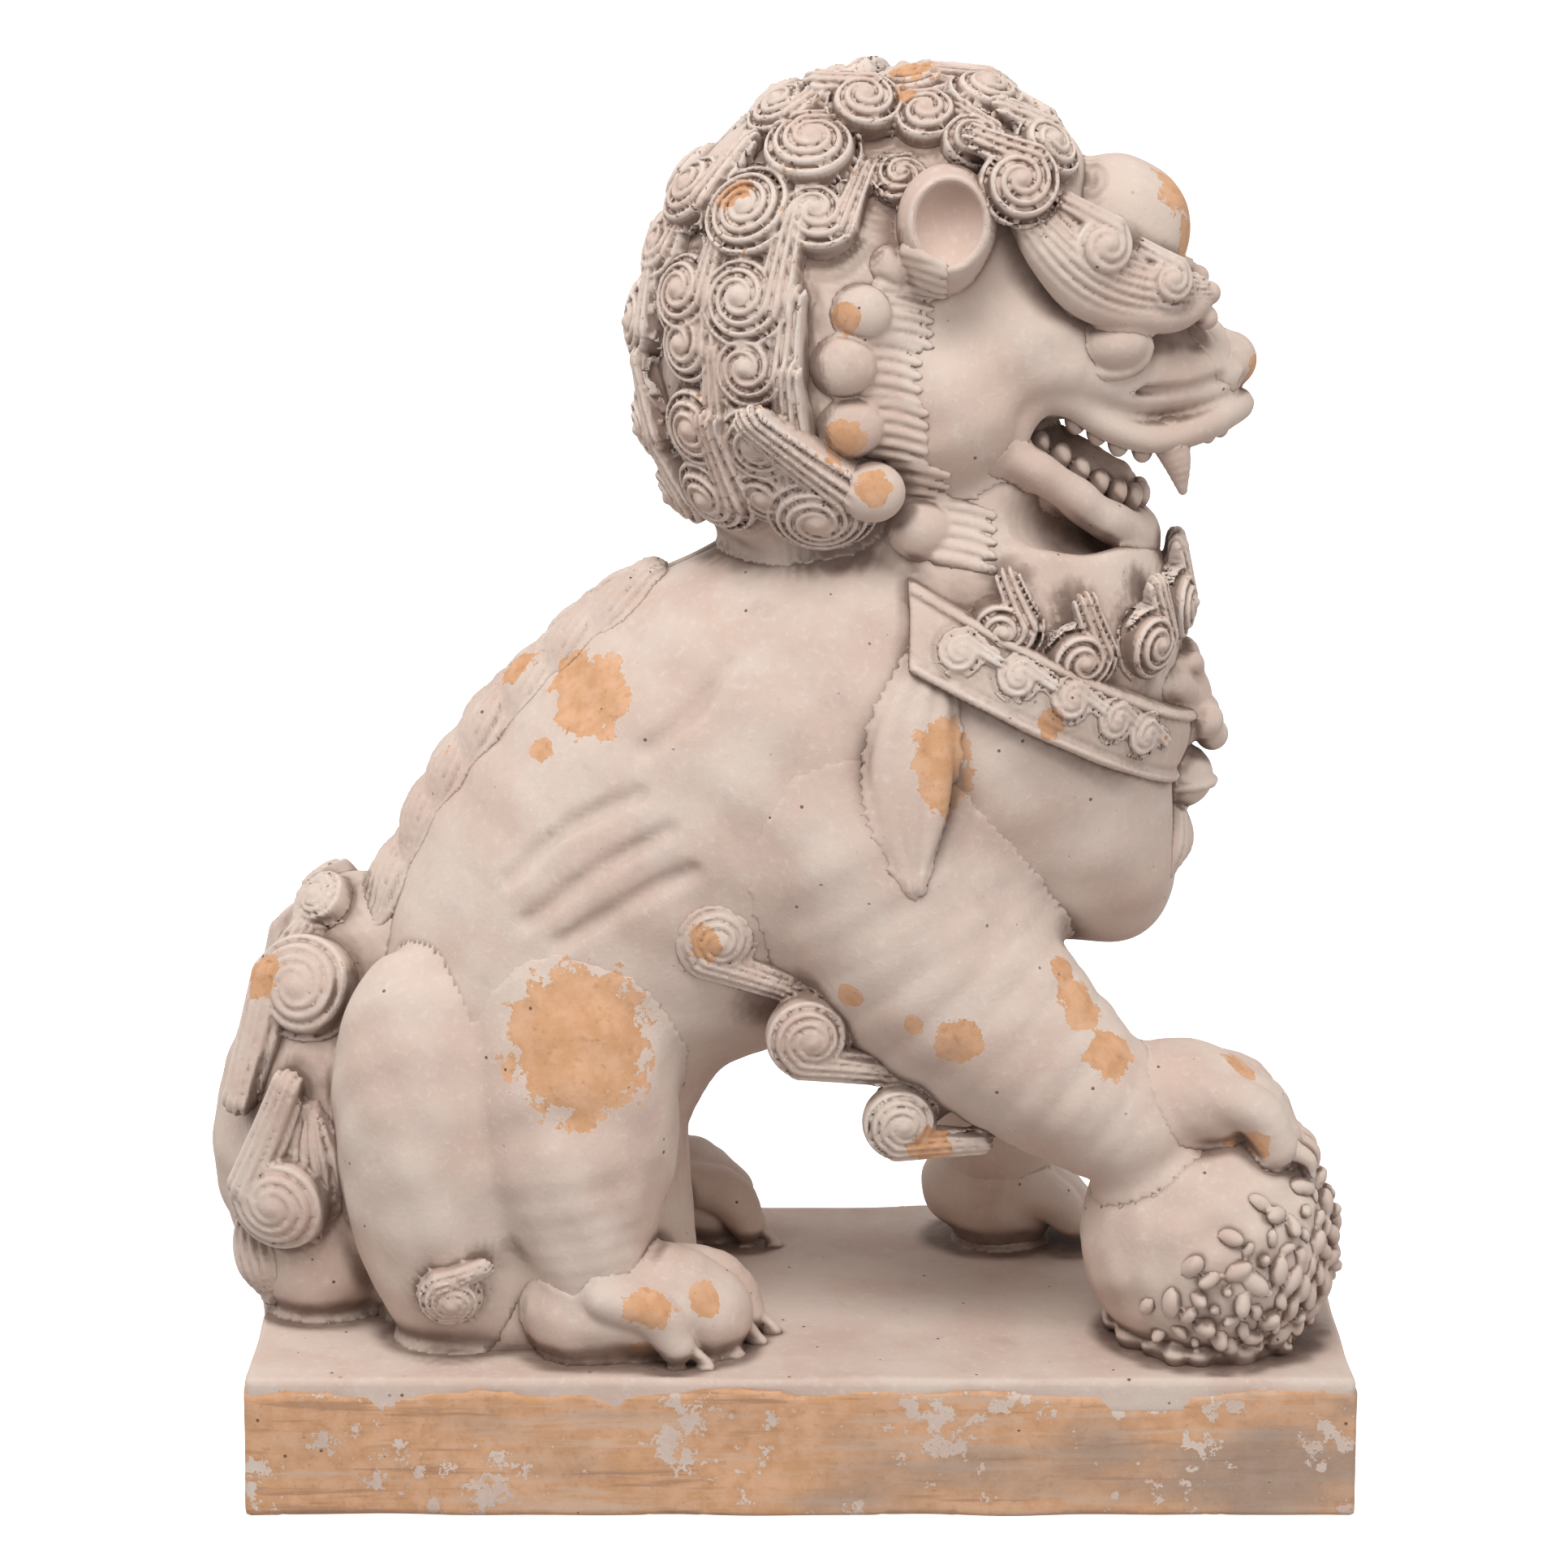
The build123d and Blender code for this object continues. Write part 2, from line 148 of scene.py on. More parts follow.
class Egg(Form):
    """An ellipsoid."""

    def __init__(
        self, centre: Triple, radii: Triple, pitch: float = 0.0, yaw: float = 0.0, roll: float = 0.0,
    ):
        """Places the egg.

        Args:
            centre: its middle.
            radii: half lengths along its own three axes.
            pitch: degrees its own X axis is lifted.
            yaw: degrees it is turned about Z.
            roll: degrees it is turned about its own X axis.
        """
        self.centre, self.radii = np.asarray(centre, np.float32), np.asarray(radii, np.float32)
        cp, sp = math.cos(math.radians(-pitch)), math.sin(math.radians(-pitch))
        cy, sy = math.cos(math.radians(yaw)), math.sin(math.radians(yaw))
        cr, sr = math.cos(math.radians(roll)), math.sin(math.radians(roll))
        about_x = np.array([[1, 0, 0], [0, cr, -sr], [0, sr, cr]])
        about_y = np.array([[cp, 0, sp], [0, 1, 0], [-sp, 0, cp]])
        about_z = np.array([[cy, -sy, 0], [sy, cy, 0], [0, 0, 1]])
        self.axes = (about_z @ about_y @ about_x).astype(np.float32)
        spread = np.sqrt(((self.axes * self.radii) ** 2).sum(1))
        self.bound(self.centre - spread, self.centre + spread)

    def at(self, p: np.ndarray) -> np.ndarray:
        """Returns the distance at each point."""
        q = (p - self.centre) @ self.axes / self.radii
        k0 = np.sqrt((q * q).sum(1))
        k1 = np.sqrt(((q / self.radii) ** 2).sum(1))
        return k0 * (k0 - 1.0) / np.maximum(k1, 1e-6)


class Limb(Form):
    """A tapered stroke of clay along a smooth curve, round in section."""

    def __init__(self, points: Sequence[Triple], per_span: int = 4):
        """Lays the stroke.

        Args:
            points: (x, y, z, radius) along the curve.
            per_span: samples from one point to the next; 1 keeps straight runs.
        """
        path = through(points, per_span) if len(points) > 2 else np.asarray(points, np.float32)
        self.path = path
        r = path[:, 3:4]
        self.bound((path[:, :3] - r).min(0), (path[:, :3] + r).max(0))

    def at(self, p: np.ndarray) -> np.ndarray:
        """Returns the distance at each point."""
        best = np.full(len(p), FAR, np.float32)
        for a, b in zip(self.path[:-1], self.path[1:]):
            run = b[:3] - a[:3]
            t = np.clip((p - a[:3]) @ run / max(float(run @ run), TINY), 0.0, 1.0)
            gap = p - a[:3] - t[:, None] * run
            best = np.minimum(best, np.sqrt((gap * gap).sum(1)) - (a[3] + (b[3] - a[3]) * t))
        return best


class Lock(Form):
    """A flat tapered lock of hair along a curve, combed into parallel strands."""

    def __init__(
        self, points: Sequence[Triple], normal: Triple, thick: float, strands: int = 4, depth: float = 1.2,
        per_span: int = 5,
    ):
        """Lays the lock.

        Args:
            points: (x, y, z, half width) along the curve.
            normal: the way its face looks.
            thick: half thickness at its middle.
            strands: strands across its whole width.
            depth: depth of the grooves between the strands.
            per_span: samples from one point to the next.
        """
        self.path = through(points, per_span) if len(points) > 2 else np.asarray(points, np.float32)
        self.normal, self.thick, self.strands, self.depth = unit(normal), thick, strands, depth
        r = np.maximum(self.path[:, 3:4], thick)
        self.bound((self.path[:, :3] - r).min(0), (self.path[:, :3] + r).max(0))

    def at(self, p: np.ndarray) -> np.ndarray:
        """Returns the distance at each point."""
        best = np.full(len(p), FAR, np.float32)
        gap = np.zeros_like(p)
        wide = np.ones(len(p), np.float32)
        along = np.zeros_like(p)
        for a, b in zip(self.path[:-1], self.path[1:]):
            run = b[:3] - a[:3]
            t = np.clip((p - a[:3]) @ run / max(float(run @ run), TINY), 0.0, 1.0)
            g = p - a[:3] - t[:, None] * run
            d = (g * g).sum(1)
            nearer = d < best
            best = np.where(nearer, d, best)
            gap[nearer] = g[nearer]
            along[nearer] = run / max(float(np.linalg.norm(run)), TINY)
            wide = np.where(nearer, a[3] + (b[3] - a[3]) * t, wide)
        side = np.cross(along, self.normal)
        side /= np.maximum(np.sqrt((side * side).sum(1)), 1e-6)[:, None]
        s = (gap * side).sum(1)
        n = gap @ self.normal
        e = (gap * along).sum(1)
        thick = self.thick * np.clip(wide / self.path[:, 3].max(), 0.35, 1.0)
        wide = np.maximum(wide, 0.4)
        k = np.sqrt((s / wide) ** 2 + (n / thick) ** 2 + (e / wide) ** 2)
        shape = (k - 1.0) * np.minimum(thick, wide)
        ridge = np.abs(np.cos(math.pi * 0.5 * self.strands * s / wide))
        fade = smooth_step(1.15, 0.75, np.abs(s) / wide) * np.clip(wide / 4.0, 0.0, 1.0)
        return shape - self.depth * (ridge - 0.6) * fade


class Curl(Form):
    """A snail-shell curl: strands come down one side, turn under and wind into the middle."""

    def __init__(
        self, centre: Triple, normal: Triple, up: Triple, radius: float, height: float = 0.0,
        tail: float = 1.4, side: Triple = (1, 0, 0), strands: float = 5.0, depth: float = 1.5,
        starts: int = 2, knob: float = 0.16,
    ):
        """Places the curl.

        Args:
            centre: a point on the surface it lies on.
            normal: the way the surface looks.
            up: the way its incoming strands come from.
            radius: radius of the round part.
            height: how far it stands up, 0 for 0.55 of the radius.
            tail: length of the incoming strands in radii, 0 for none.
            side: the way to the side the strands come down.
            strands: ridges from the middle to the edge.
            depth: depth of the grooves.
            starts: strands that wind side by side.
            knob: radius of the plain middle in radii.
        """
        self.centre = np.asarray(centre, np.float32)
        self.n = unit(normal)
        v = np.asarray(up, np.float32)
        self.v = unit(v - (v @ self.n) * self.n)
        u = np.cross(self.v, self.n)
        self.u = -u if float(u @ np.asarray(side, np.float32)) > 0 else u
        self.radius, self.height, self.tail = radius, height or 0.55 * radius, tail * radius
        self.strands, self.depth, self.starts, self.knob = strands, depth, starts, knob
        ends = [self.centre, self.centre + self.v * self.tail]
        r = radius * 1.15
        self.bound(np.min(ends, 0) - r, np.max(ends, 0) + r)

    def at(self, p: np.ndarray) -> np.ndarray:
        """Returns the distance at each point."""
        q = p - self.centre
        u, v, n = q @ self.u, q @ self.v, q @ self.n
        radius, height = self.radius, self.height
        rho = np.sqrt(u * u + v * v) + 1e-4
        psi = np.mod(np.arctan2(-v, -u), 2 * math.pi)
        shrink = 1.0 - 0.22 * psi / (2 * math.pi) if self.tail else np.ones_like(rho)
        k = np.sqrt((rho / (radius * shrink)) ** 2 + (n / height) ** 2)
        dome = (k - 1.0) * height * 0.9
        pitch = radius / self.strands
        phase = rho / pitch + self.starts * psi / (2 * math.pi)
        if self.tail:
            span = np.clip(v / self.tail, 0.0, 1.0)
            wide = radius * (0.46 - 0.16 * span)
            middle = -radius * (0.58 - 0.08 * span)
            over = np.maximum(v - self.tail, 0.0) + np.maximum(-v, 0.0)
            tall = height * (0.86 - 0.45 * span)
            kt = np.sqrt(((u - middle) / wide) ** 2 + (n / tall) ** 2 + (over / wide) ** 2)
            strand = (kt - 1.0) * np.minimum(tall, wide)
            phase = np.where(strand < dome, -u / pitch * (1.0 + 0.35 * span), phase)
            body = smooth_min(dome, strand, 1.0)
        else:
            body = dome
        ridge = np.abs(np.cos(math.pi * phase))
        fade = smooth_step(self.knob * radius, (self.knob + 0.16) * radius, rho)
        button = np.exp(-((rho / (self.knob * radius + 0.5)) ** 2)) * self.depth * 0.9
        return body - self.depth * (ridge - 0.55) * fade - button


class Slab(Form):
    """A block with softened edges."""

    def __init__(self, low: Triple, high: Triple, soft: float = 2.0):
        """Places the block between two corners, its edges rounded by soft mm."""
        self.soft = soft
        self.bound(low, high)
        self.half = (self.high - self.low) / 2 - soft

    def at(self, p: np.ndarray) -> np.ndarray:
        """Returns the distance at each point."""
        q = np.abs(p - self.middle) - self.half
        outside = np.sqrt((np.maximum(q, 0.0) ** 2).sum(1))
        return outside + np.minimum(q.max(1), 0.0) - self.soft


class Clay(Form):
    """Forms joined and cut in order, each blended over its own width."""

    MARGIN = 13.0

    def __init__(self, *forms: Form, blend: float = 3.0):
        """Joins the first forms over one blend width."""
        self.steps: list[tuple[Form, float, bool]] = []
        self.floor: float | None = None
        for form in forms:
            self.add(form, blend)

    def add(self, form: Form, blend: float = 3.0) -> "Clay":
        """Joins one more form; returns the clay."""
        self.steps.append((form, blend, True))
        added = [f for f, _, joins in self.steps if joins]
        low, high = np.min([f.low for f in added], 0), np.max([f.high for f in added], 0)
        self.bound(low - blend / 2, high + blend / 2)
        return self

    def cut(self, form: Form, blend: float = 2.0) -> "Clay":
        """Takes a form out of the clay; returns the clay."""
        self.steps.append((form, blend, False))
        return self

    def above(self, height: float) -> "Clay":
        """Cuts the clay off flat below a height; returns the clay."""
        self.floor = height
        return self

    def at(self, p: np.ndarray) -> np.ndarray:
        """Returns the distance at each point, asking each form only near itself."""
        out = np.full(len(p), FAR, np.float32)
        for form, blend, joins in self.steps:
            q = p - form.middle
            gap = np.sqrt(np.einsum("ij,ij->i", q, q)) - form.reach
            close = gap < self.MARGIN + blend
            near = np.flatnonzero(close)
            if joins:
                out = np.where(close, out, np.minimum(out, gap))
            if len(near) == 0:
                continue
            d = form.at(p[near])
            out[near] = smooth_min(out[near], d, blend) if joins else -smooth_min(-out[near], d, blend)
        if self.floor is not None:
            out = np.maximum(out, self.floor - p[:, 2])
        return out

    def near(self, low: np.ndarray, high: np.ndarray) -> "Clay":
        """Returns a clay with only the forms that reach into a box."""
        part = Clay()
        part.steps = [
            s for s in self.steps
            if (s[0].low - self.MARGIN - s[1] < high).all()
            and (s[0].high + self.MARGIN + s[1] > low).all()
        ]
        part.floor = self.floor
        part.bound(low, high)
        return part


class LaidOn(Form):
    """The clay that a form adds to what lies under it, smoothed into it at the edge."""

    ROOT = 3.0
    REACH = 9.0

    def __init__(self, form: Form, under: Clay, blend: float, seat: float = 0.14):
        """Lays the form.

        Args:
            form: the new clay.
            under: everything made before it.
            blend: width over which its edge is smoothed down.
            seat: least thickness of its edge.
        """
        self.form, self.blend, self.seat = form, blend, seat
        self.bound(form.low - blend, form.high + blend)
        self.under = under.near(self.low - 6, self.high + 6)

    def at(self, p: np.ndarray) -> np.ndarray:
        """Returns the distance at each point."""
        out = self.form.at(p)
        near = np.flatnonzero(out < self.REACH + self.blend)
        if len(near) == 0:
            return out
        under = self.under.at(p[near])
        both = smooth_min(out[near], under, self.blend)
        out[near] = np.maximum(np.maximum(both, both - under + self.seat), -under - self.ROOT)
        return out


class Half(Form):
    """One side of a form, cut on the lion's middle plane."""

    def __init__(self, form: Form, side: float):
        """Keeps the side whose Y has the sign of side."""
        self.form, self.side = form, side
        low, high = form.low.copy(), form.high.copy()
        if side < 0:
            high[1] = 0.0
        else:
            low[1] = 0.0
        self.bound(low, high)

    def at(self, p: np.ndarray) -> np.ndarray:
        """Returns the distance at each point."""
        return np.maximum(self.form.at(p), -self.side * p[:, 1])


class Standing(Form):
    """A form cut off flat where it sinks into what it stands on."""

    def __init__(self, form: Form, floor: float):
        """Cuts a form off below a height."""
        self.form, self.floor = form, floor
        low = form.low.copy()
        low[2] = max(low[2], floor)
        self.bound(low, form.high)

    def at(self, p: np.ndarray) -> np.ndarray:
        """Returns the distance at each point."""
        return np.maximum(self.form.at(p), self.floor - p[:, 2])


class Rough(Form):
    """A form whose surface is left uneven by the fingers: low lumps and dents."""

    def __init__(self, form: Form, size: float, depth: float, seed: int = 0):
        """Roughens a form.

        Args:
            form: the clean form.
            size: distance from one lump to the next.
            depth: height of the lumps.
            seed: which lumps.
        """
        self.form, self.depth = form, depth
        rng = np.random.default_rng(SEED + seed)
        turns = rng.normal(size=(7, 3))
        turns /= np.linalg.norm(turns, axis=1)[:, None]
        self.waves = (turns * (2 * math.pi / size) * rng.uniform(0.6, 1.6, (7, 1))).astype(np.float32)
        self.starts = rng.uniform(0, 2 * math.pi, 7).astype(np.float32)
        self.bound(form.low - depth, form.high + depth)

    def at(self, p: np.ndarray) -> np.ndarray:
        """Returns the distance at each point."""
        lumps = np.sin(p @ self.waves.T + self.starts).sum(1) / 3.0
        return self.form.at(p) + self.depth * lumps


def whole_arch(right: Sequence[Triple]) -> list[Triple]:
    """Returns points from the right side to the middle plane, carried on to the left side."""
    return [*right, *[(x, -y, z, r) for x, y, z, r in reversed(right[:-1])]]


def on_surface(
    form: Form, start: Triple, way: Triple, reach: float = 150.0
) -> tuple[np.ndarray, np.ndarray]:
    """Walks from a point until it meets the clay.

    Args:
        form: the clay.
        start: where to start, outside it.
        way: the way to walk.
        reach: how far to walk; if nothing is met, the nearest pass is taken.
    Returns:
        The point on the surface and the way the surface looks there.
    """
    origin, step = np.asarray(start, np.float32), unit(way)
    low, high = 0.0, reach
    for count in (100, 14):
        t = np.linspace(low, high, count, dtype=np.float32)
        d = form.at(origin + t[:, None] * step)
        inside = np.flatnonzero(d < 0)
        i = int(inside[0]) if len(inside) else int(np.argmin(d))
        low, high = float(t[max(i - 1, 0)]), float(t[i])
        if not len(inside):
            low = high
            break
    spot = origin + step * ((low + high) / 2)
    return spot, unit(slope(form.at, spot[None], 1.5)[0])


def slope(distance: Distance, p: np.ndarray, step: float) -> np.ndarray:
    """Returns the way the distance grows at each point, measured over a small step."""
    out = np.zeros_like(p)
    for corner in ((1, -1, -1), (-1, -1, 1), (-1, 1, -1), (1, 1, 1)):
        k = np.asarray(corner, np.float32)
        out += k * distance(p + k * np.float32(step * TETRAHEDRON))[:, None]
    return out / (4 * step * TETRAHEDRON)


# ---- from clay to mesh ------------------------------------------------------------------------
@dataclass
class Skin:
    """A closed mesh of quads in millimetres."""

    points: np.ndarray
    quads: np.ndarray

    def edges(self) -> np.ndarray:
        """Returns each edge once, as two point numbers."""
        q = self.quads
        pairs = np.vstack([q[:, [0, 1]], q[:, [1, 2]], q[:, [2, 3]], q[:, [3, 0]]])
        return np.unique(np.sort(pairs, axis=1), axis=0)

    def neighbours_mean(self) -> np.ndarray:
        """Returns the mean of each point's neighbours."""
        e = self.edges()
        n = len(self.points)
        total = np.empty_like(self.points)
        count = np.bincount(e.ravel(), minlength=n).astype(np.float32)
        for axis in range(3):
            c = self.points[:, axis]
            total[:, axis] = np.bincount(e[:, 0], c[e[:, 1]], n) + np.bincount(e[:, 1], c[e[:, 0]], n)
        return total / np.maximum(count, 1)[:, None]

    def normals(self) -> np.ndarray:
        """Returns the way each point's surface looks."""
        p, q = self.points, self.quads
        face = np.cross(p[q[:, 2]] - p[q[:, 0]], p[q[:, 3]] - p[q[:, 1]])
        out = np.zeros_like(p)
        for axis in range(3):
            for corner in range(4):
                out[:, axis] += np.bincount(q[:, corner], face[:, axis], len(p))
        return out / np.maximum(np.linalg.norm(out, axis=1), TINY)[:, None]

    def divided(self) -> "Skin":
        """Returns the skin with each quad cut into four."""
        q, n = self.quads.astype(np.int64), len(self.points)
        pairs = np.stack([q[:, [0, 1]], q[:, [1, 2]], q[:, [2, 3]], q[:, [3, 0]]], 1).reshape(-1, 2)
        pairs = np.sort(pairs, axis=1)
        keys = pairs[:, 0] * n + pairs[:, 1]
        edge_keys, index = np.unique(keys, return_inverse=True)
        a, b = edge_keys // n, edge_keys % n
        middles = (self.points[a] + self.points[b]) / 2
        faces = self.points[q].mean(1)
        m = (index.reshape(-1, 4) + n).astype(np.int64)
        c = np.arange(len(q)) + n + len(edge_keys)
        quads = np.concatenate(
            [np.stack([q[:, i], m[:, i], c, m[:, (i + 3) % 4]], 1) for i in range(4)]
        )
        return Skin(np.vstack([self.points, middles, faces]).astype(np.float32), quads)


def net(distance: Distance, low: np.ndarray, high: np.ndarray, step: float) -> Skin:
    """Wraps a closed mesh around clay, one point to each small cell that the surface crosses.

    Args:
        distance: the clay's distance.
        low: lowest corner to look in.
        high: highest corner to look in.
        step: side of a cell.
    Returns:
        The mesh.
    """
    side = BLOCK
    low = np.floor((low - 2 * step) / (side * step)) * side * step
    blocks = np.ceil((high + 2 * step - low) / (side * step)).astype(int)
    grid = np.stack(np.meshgrid(*[np.arange(b) for b in blocks], indexing="ij"), -1).reshape(-1, 3)
    middles = (low + (grid + 0.5) * side * step).astype(np.float32)
    grid = grid[np.abs(distance(middles)) < side * step * HALF_DIAGONAL * SLACK + step]
    corners = np.stack(np.meshgrid(*[np.arange(side + 1)] * 3, indexing="ij"), -1).reshape(-1, 3)
    cells_all, points_all, faces_all, flips_all = [], [], [], []
    size = (blocks * side + 2).astype(np.int64)

    def key(cell: np.ndarray) -> np.ndarray:
        """Returns one number for each cell."""
        return ((cell[:, 0] + 1) * size[1] + cell[:, 1] + 1) * size[2] + cell[:, 2] + 1

    for first in range(0, len(grid), BATCH):
        part = grid[first : first + BATCH]
        where = part[:, None, :] * side + corners[None]
        p = (low + where * step).astype(np.float32).reshape(-1, 3)
        v = distance(p).reshape(len(part), side + 1, side + 1, side + 1)
        v = np.where(v == 0, np.float32(1e-6), v)
        inside = v < 0
        eight = [(i, j, k) for i in (0, 1) for j in (0, 1) for k in (0, 1)]
        count = sum(inside[:, i : i + side, j : j + side, k : k + side].astype(np.int8) for i, j, k in eight)
        b, i, j, k = np.nonzero((count > 0) & (count < 8))
        if len(b):
            val = np.stack([v[b, i + a, j + c, k + d] for a, c, d in eight], 1)
            total, hits = np.zeros((len(b), 3), np.float32), np.zeros(len(b), np.float32)
            for m in range(8):
                for n in range(m + 1, 8):
                    ca, cb = np.array(eight[m], np.float32), np.array(eight[n], np.float32)
                    if np.abs(ca - cb).sum() != 1:
                        continue
                    va, vb = val[:, m], val[:, n]
                    cross = (va < 0) != (vb < 0)
                    t = np.where(cross, va / np.where(cross, va - vb, 1), 0)
                    total += np.where(cross[:, None], ca + t[:, None] * (cb - ca), 0)
                    hits += cross
            cell = part[b] * side + np.stack([i, j, k], 1)
            cells_all.append(key(cell))
            points_all.append(low + (cell + total / hits[:, None]) * step)
        for axis in range(3):
            ahead = [slice(0, side)] * 3
            ahead[axis] = slice(1, side + 1)
            here = inside[:, :side, :side, :side]
            there = inside[(slice(None), *ahead)]
            b, i, j, k = np.nonzero(here != there)
            cell = part[b] * side + np.stack([i, j, k], 1)
            other, last = (axis + 1) % 3, (axis + 2) % 3
            ring = []
            for da, db in ((-1, -1), (0, -1), (0, 0), (-1, 0)):
                c = cell.copy()
                c[:, other] += da
                c[:, last] += db
                ring.append(key(c))
            faces_all.append(np.stack(ring, 1))
            flips_all.append(~here[b, i, j, k])
    keys, points = np.concatenate(cells_all), np.concatenate(points_all)
    faces, flips = np.concatenate(faces_all), np.concatenate(flips_all)
    faces[flips] = faces[flips][:, ::-1]
    order = np.argsort(keys)
    place = np.clip(np.searchsorted(keys[order], faces), 0, len(keys) - 1)
    found = keys[order][place] == faces
    whole = found.all(1)
    if not whole.all():
        LOG.warning("%d faces have no cell", int((~whole).sum()))
    return Skin(points.astype(np.float32), order[place][whole])


def settle(skin: Skin, form: Form, step: float, rounds: int, relax: float, seam: bool) -> Skin:
    """Moves a skin's points onto the clay's surface.

    Args:
        skin: the skin to move.
        form: the clay.
        step: distance between the skin's points.
        rounds: how often to move them.
        relax: how far points even out among their neighbours each round, 0 to 1.
        seam: whether the form is cut on the middle plane, whose points stay on it.
    Returns:
        The moved skin.
    """
    p = skin.points.copy()
    on_plane = np.abs(p[:, 1]) < NEAR_PLANE * step if seam else np.zeros(len(p), bool)
    for turn in range(rounds):
        if relax and turn < rounds - 1:
            skin.points = p
            p = p + (skin.neighbours_mean() - p) * relax
        if seam:
            p[on_plane, 1] = 0.0
        for chunk in np.array_split(np.arange(len(p)), max(1, len(p) // CHUNK + 1)):
            q = p[chunk]
            g = slope(form.at, q, PROBE * step)
            d = form.at(q)
            size = np.maximum((g * g).sum(1), 0.05)
            move = -(d / size)[:, None] * g
            far = np.linalg.norm(move, axis=1)
            move *= np.minimum(1.0, FARTHEST * step / np.maximum(far, 1e-6))[:, None]
            if seam:
                move[on_plane[chunk], 1] = 0.0
            p[chunk] = q + move
    skin.points = p
    return skin


# ---- finishes ---------------------------------------------------------------------------------
class Wire:
    """A value in a shader, with arithmetic that lays the Math nodes."""

    def __init__(self, graph: "Graph", socket: bpy.types.NodeSocket):
        """Holds a socket of a graph."""
        self.graph, self.socket = graph, socket

    def __add__(self, other: "Wire | float") -> "Wire":
        """Returns the sum."""
        return self.graph.maths("ADD", self, other)

    def __radd__(self, other: float) -> "Wire":
        """Returns the sum."""
        return self.graph.maths("ADD", other, self)

    def __sub__(self, other: "Wire | float") -> "Wire":
        """Returns the difference."""
        return self.graph.maths("SUBTRACT", self, other)

    def __rsub__(self, other: float) -> "Wire":
        """Returns the difference."""
        return self.graph.maths("SUBTRACT", other, self)

    def __mul__(self, other: "Wire | float") -> "Wire":
        """Returns the product."""
        return self.graph.maths("MULTIPLY", self, other)

    def __rmul__(self, other: float) -> "Wire":
        """Returns the product."""
        return self.graph.maths("MULTIPLY", other, self)

    def ramp(self, low: float, high: float) -> "Wire":
        """Returns an eased ramp: 0 at low, 1 at high."""
        return self.graph.node(
            "ShaderNodeMapRange", {"interpolation_type": "SMOOTHSTEP"}, Value=self,
            **{"From Min": low, "From Max": high},
        )

    def held(self) -> "Wire":
        """Returns the value kept between 0 and 1."""
        out = self.graph.maths("ADD", self, 0.0)
        out.socket.node.use_clamp = True
        return out


class Graph:
    """The nodes of one material."""

    def __init__(self, name: str):
        """Starts an empty material."""
        self.material = bpy.data.materials.new(name)
        self.material.use_nodes = True
        self.tree = self.material.node_tree
        self.tree.nodes.clear()

    def node(
        self, kind: str, settings: dict[str, object] | None = None, output: str | int = 0, **inputs: object
    ) -> Wire:
        """Adds a node.

        Args:
            kind: its type.
            settings: its properties.
            output: the output that is returned.
            inputs: values or wires by socket name.
        Returns:
            One of its outputs.
        """
        made = self.tree.nodes.new(kind)
        for key, value in (settings or {}).items():
            setattr(made, key, value)
        for key, value in inputs.items():
            self.feed(made.inputs[key], value)
        return Wire(self, made.outputs[output])

    def feed(self, socket: bpy.types.NodeSocket, value: object) -> None:
        """Links a wire to a socket, or sets the socket's value."""
        if isinstance(value, Wire):
            self.tree.links.new(value.socket, socket)
        else:
            socket.default_value = value

    def maths(self, operation: str, a: Wire | float, b: Wire | float) -> Wire:
        """Returns the result of one Math node."""
        made = self.tree.nodes.new("ShaderNodeMath")
        made.operation = operation
        self.feed(made.inputs[0], a)
        self.feed(made.inputs[1], b)
        return Wire(self, made.outputs[0])

    def mix(self, share: Wire | float, a: object, b: object) -> Wire:
        """Returns colour a turned into colour b by a share."""
        made = self.tree.nodes.new("ShaderNodeMix")
        made.data_type = "RGBA"
        self.feed(made.inputs["Factor"], share)
        self.feed(made.inputs["A"], a)
        self.feed(made.inputs["B"], b)
        return Wire(self, made.outputs["Result"])

    def closed(self, shader: Wire) -> bpy.types.Material:
        """Ends the material with its shader; returns it."""
        end = self.tree.nodes.new("ShaderNodeOutputMaterial")
        self.tree.links.new(shader.socket, end.inputs["Surface"])
        return self.material

    def stretched(self, x: float, y: float, z: float) -> Wire:
        """Returns the place on the object, scaled along each axis, in mm."""
        place = self.node("ShaderNodeTexCoord", output="Object")
        return self._scaled(place, (x / MM, y / MM, z / MM))

    def _scaled(self, place: Wire, scale: Triple) -> Wire:
        """Returns a vector times a fixed vector."""
        made = self.tree.nodes.new("ShaderNodeVectorMath")
        made.operation = "MULTIPLY"
        self.feed(made.inputs[0], place)
        self.feed(made.inputs[1], tuple(scale))
        return Wire(self, made.outputs[0])

    def noise(self, size: float, detail: float = 3.0, rough: float = 0.55, place: Wire | None = None) -> Wire:
        """Returns noise from 0 to 1 whose lumps are size mm apart."""
        return self.node(
            "ShaderNodeTexNoise", {"normalize": True}, Vector=place or self.stretched(1, 1, 1),
            Scale=1.0 / size, Detail=detail, Roughness=rough,
        )


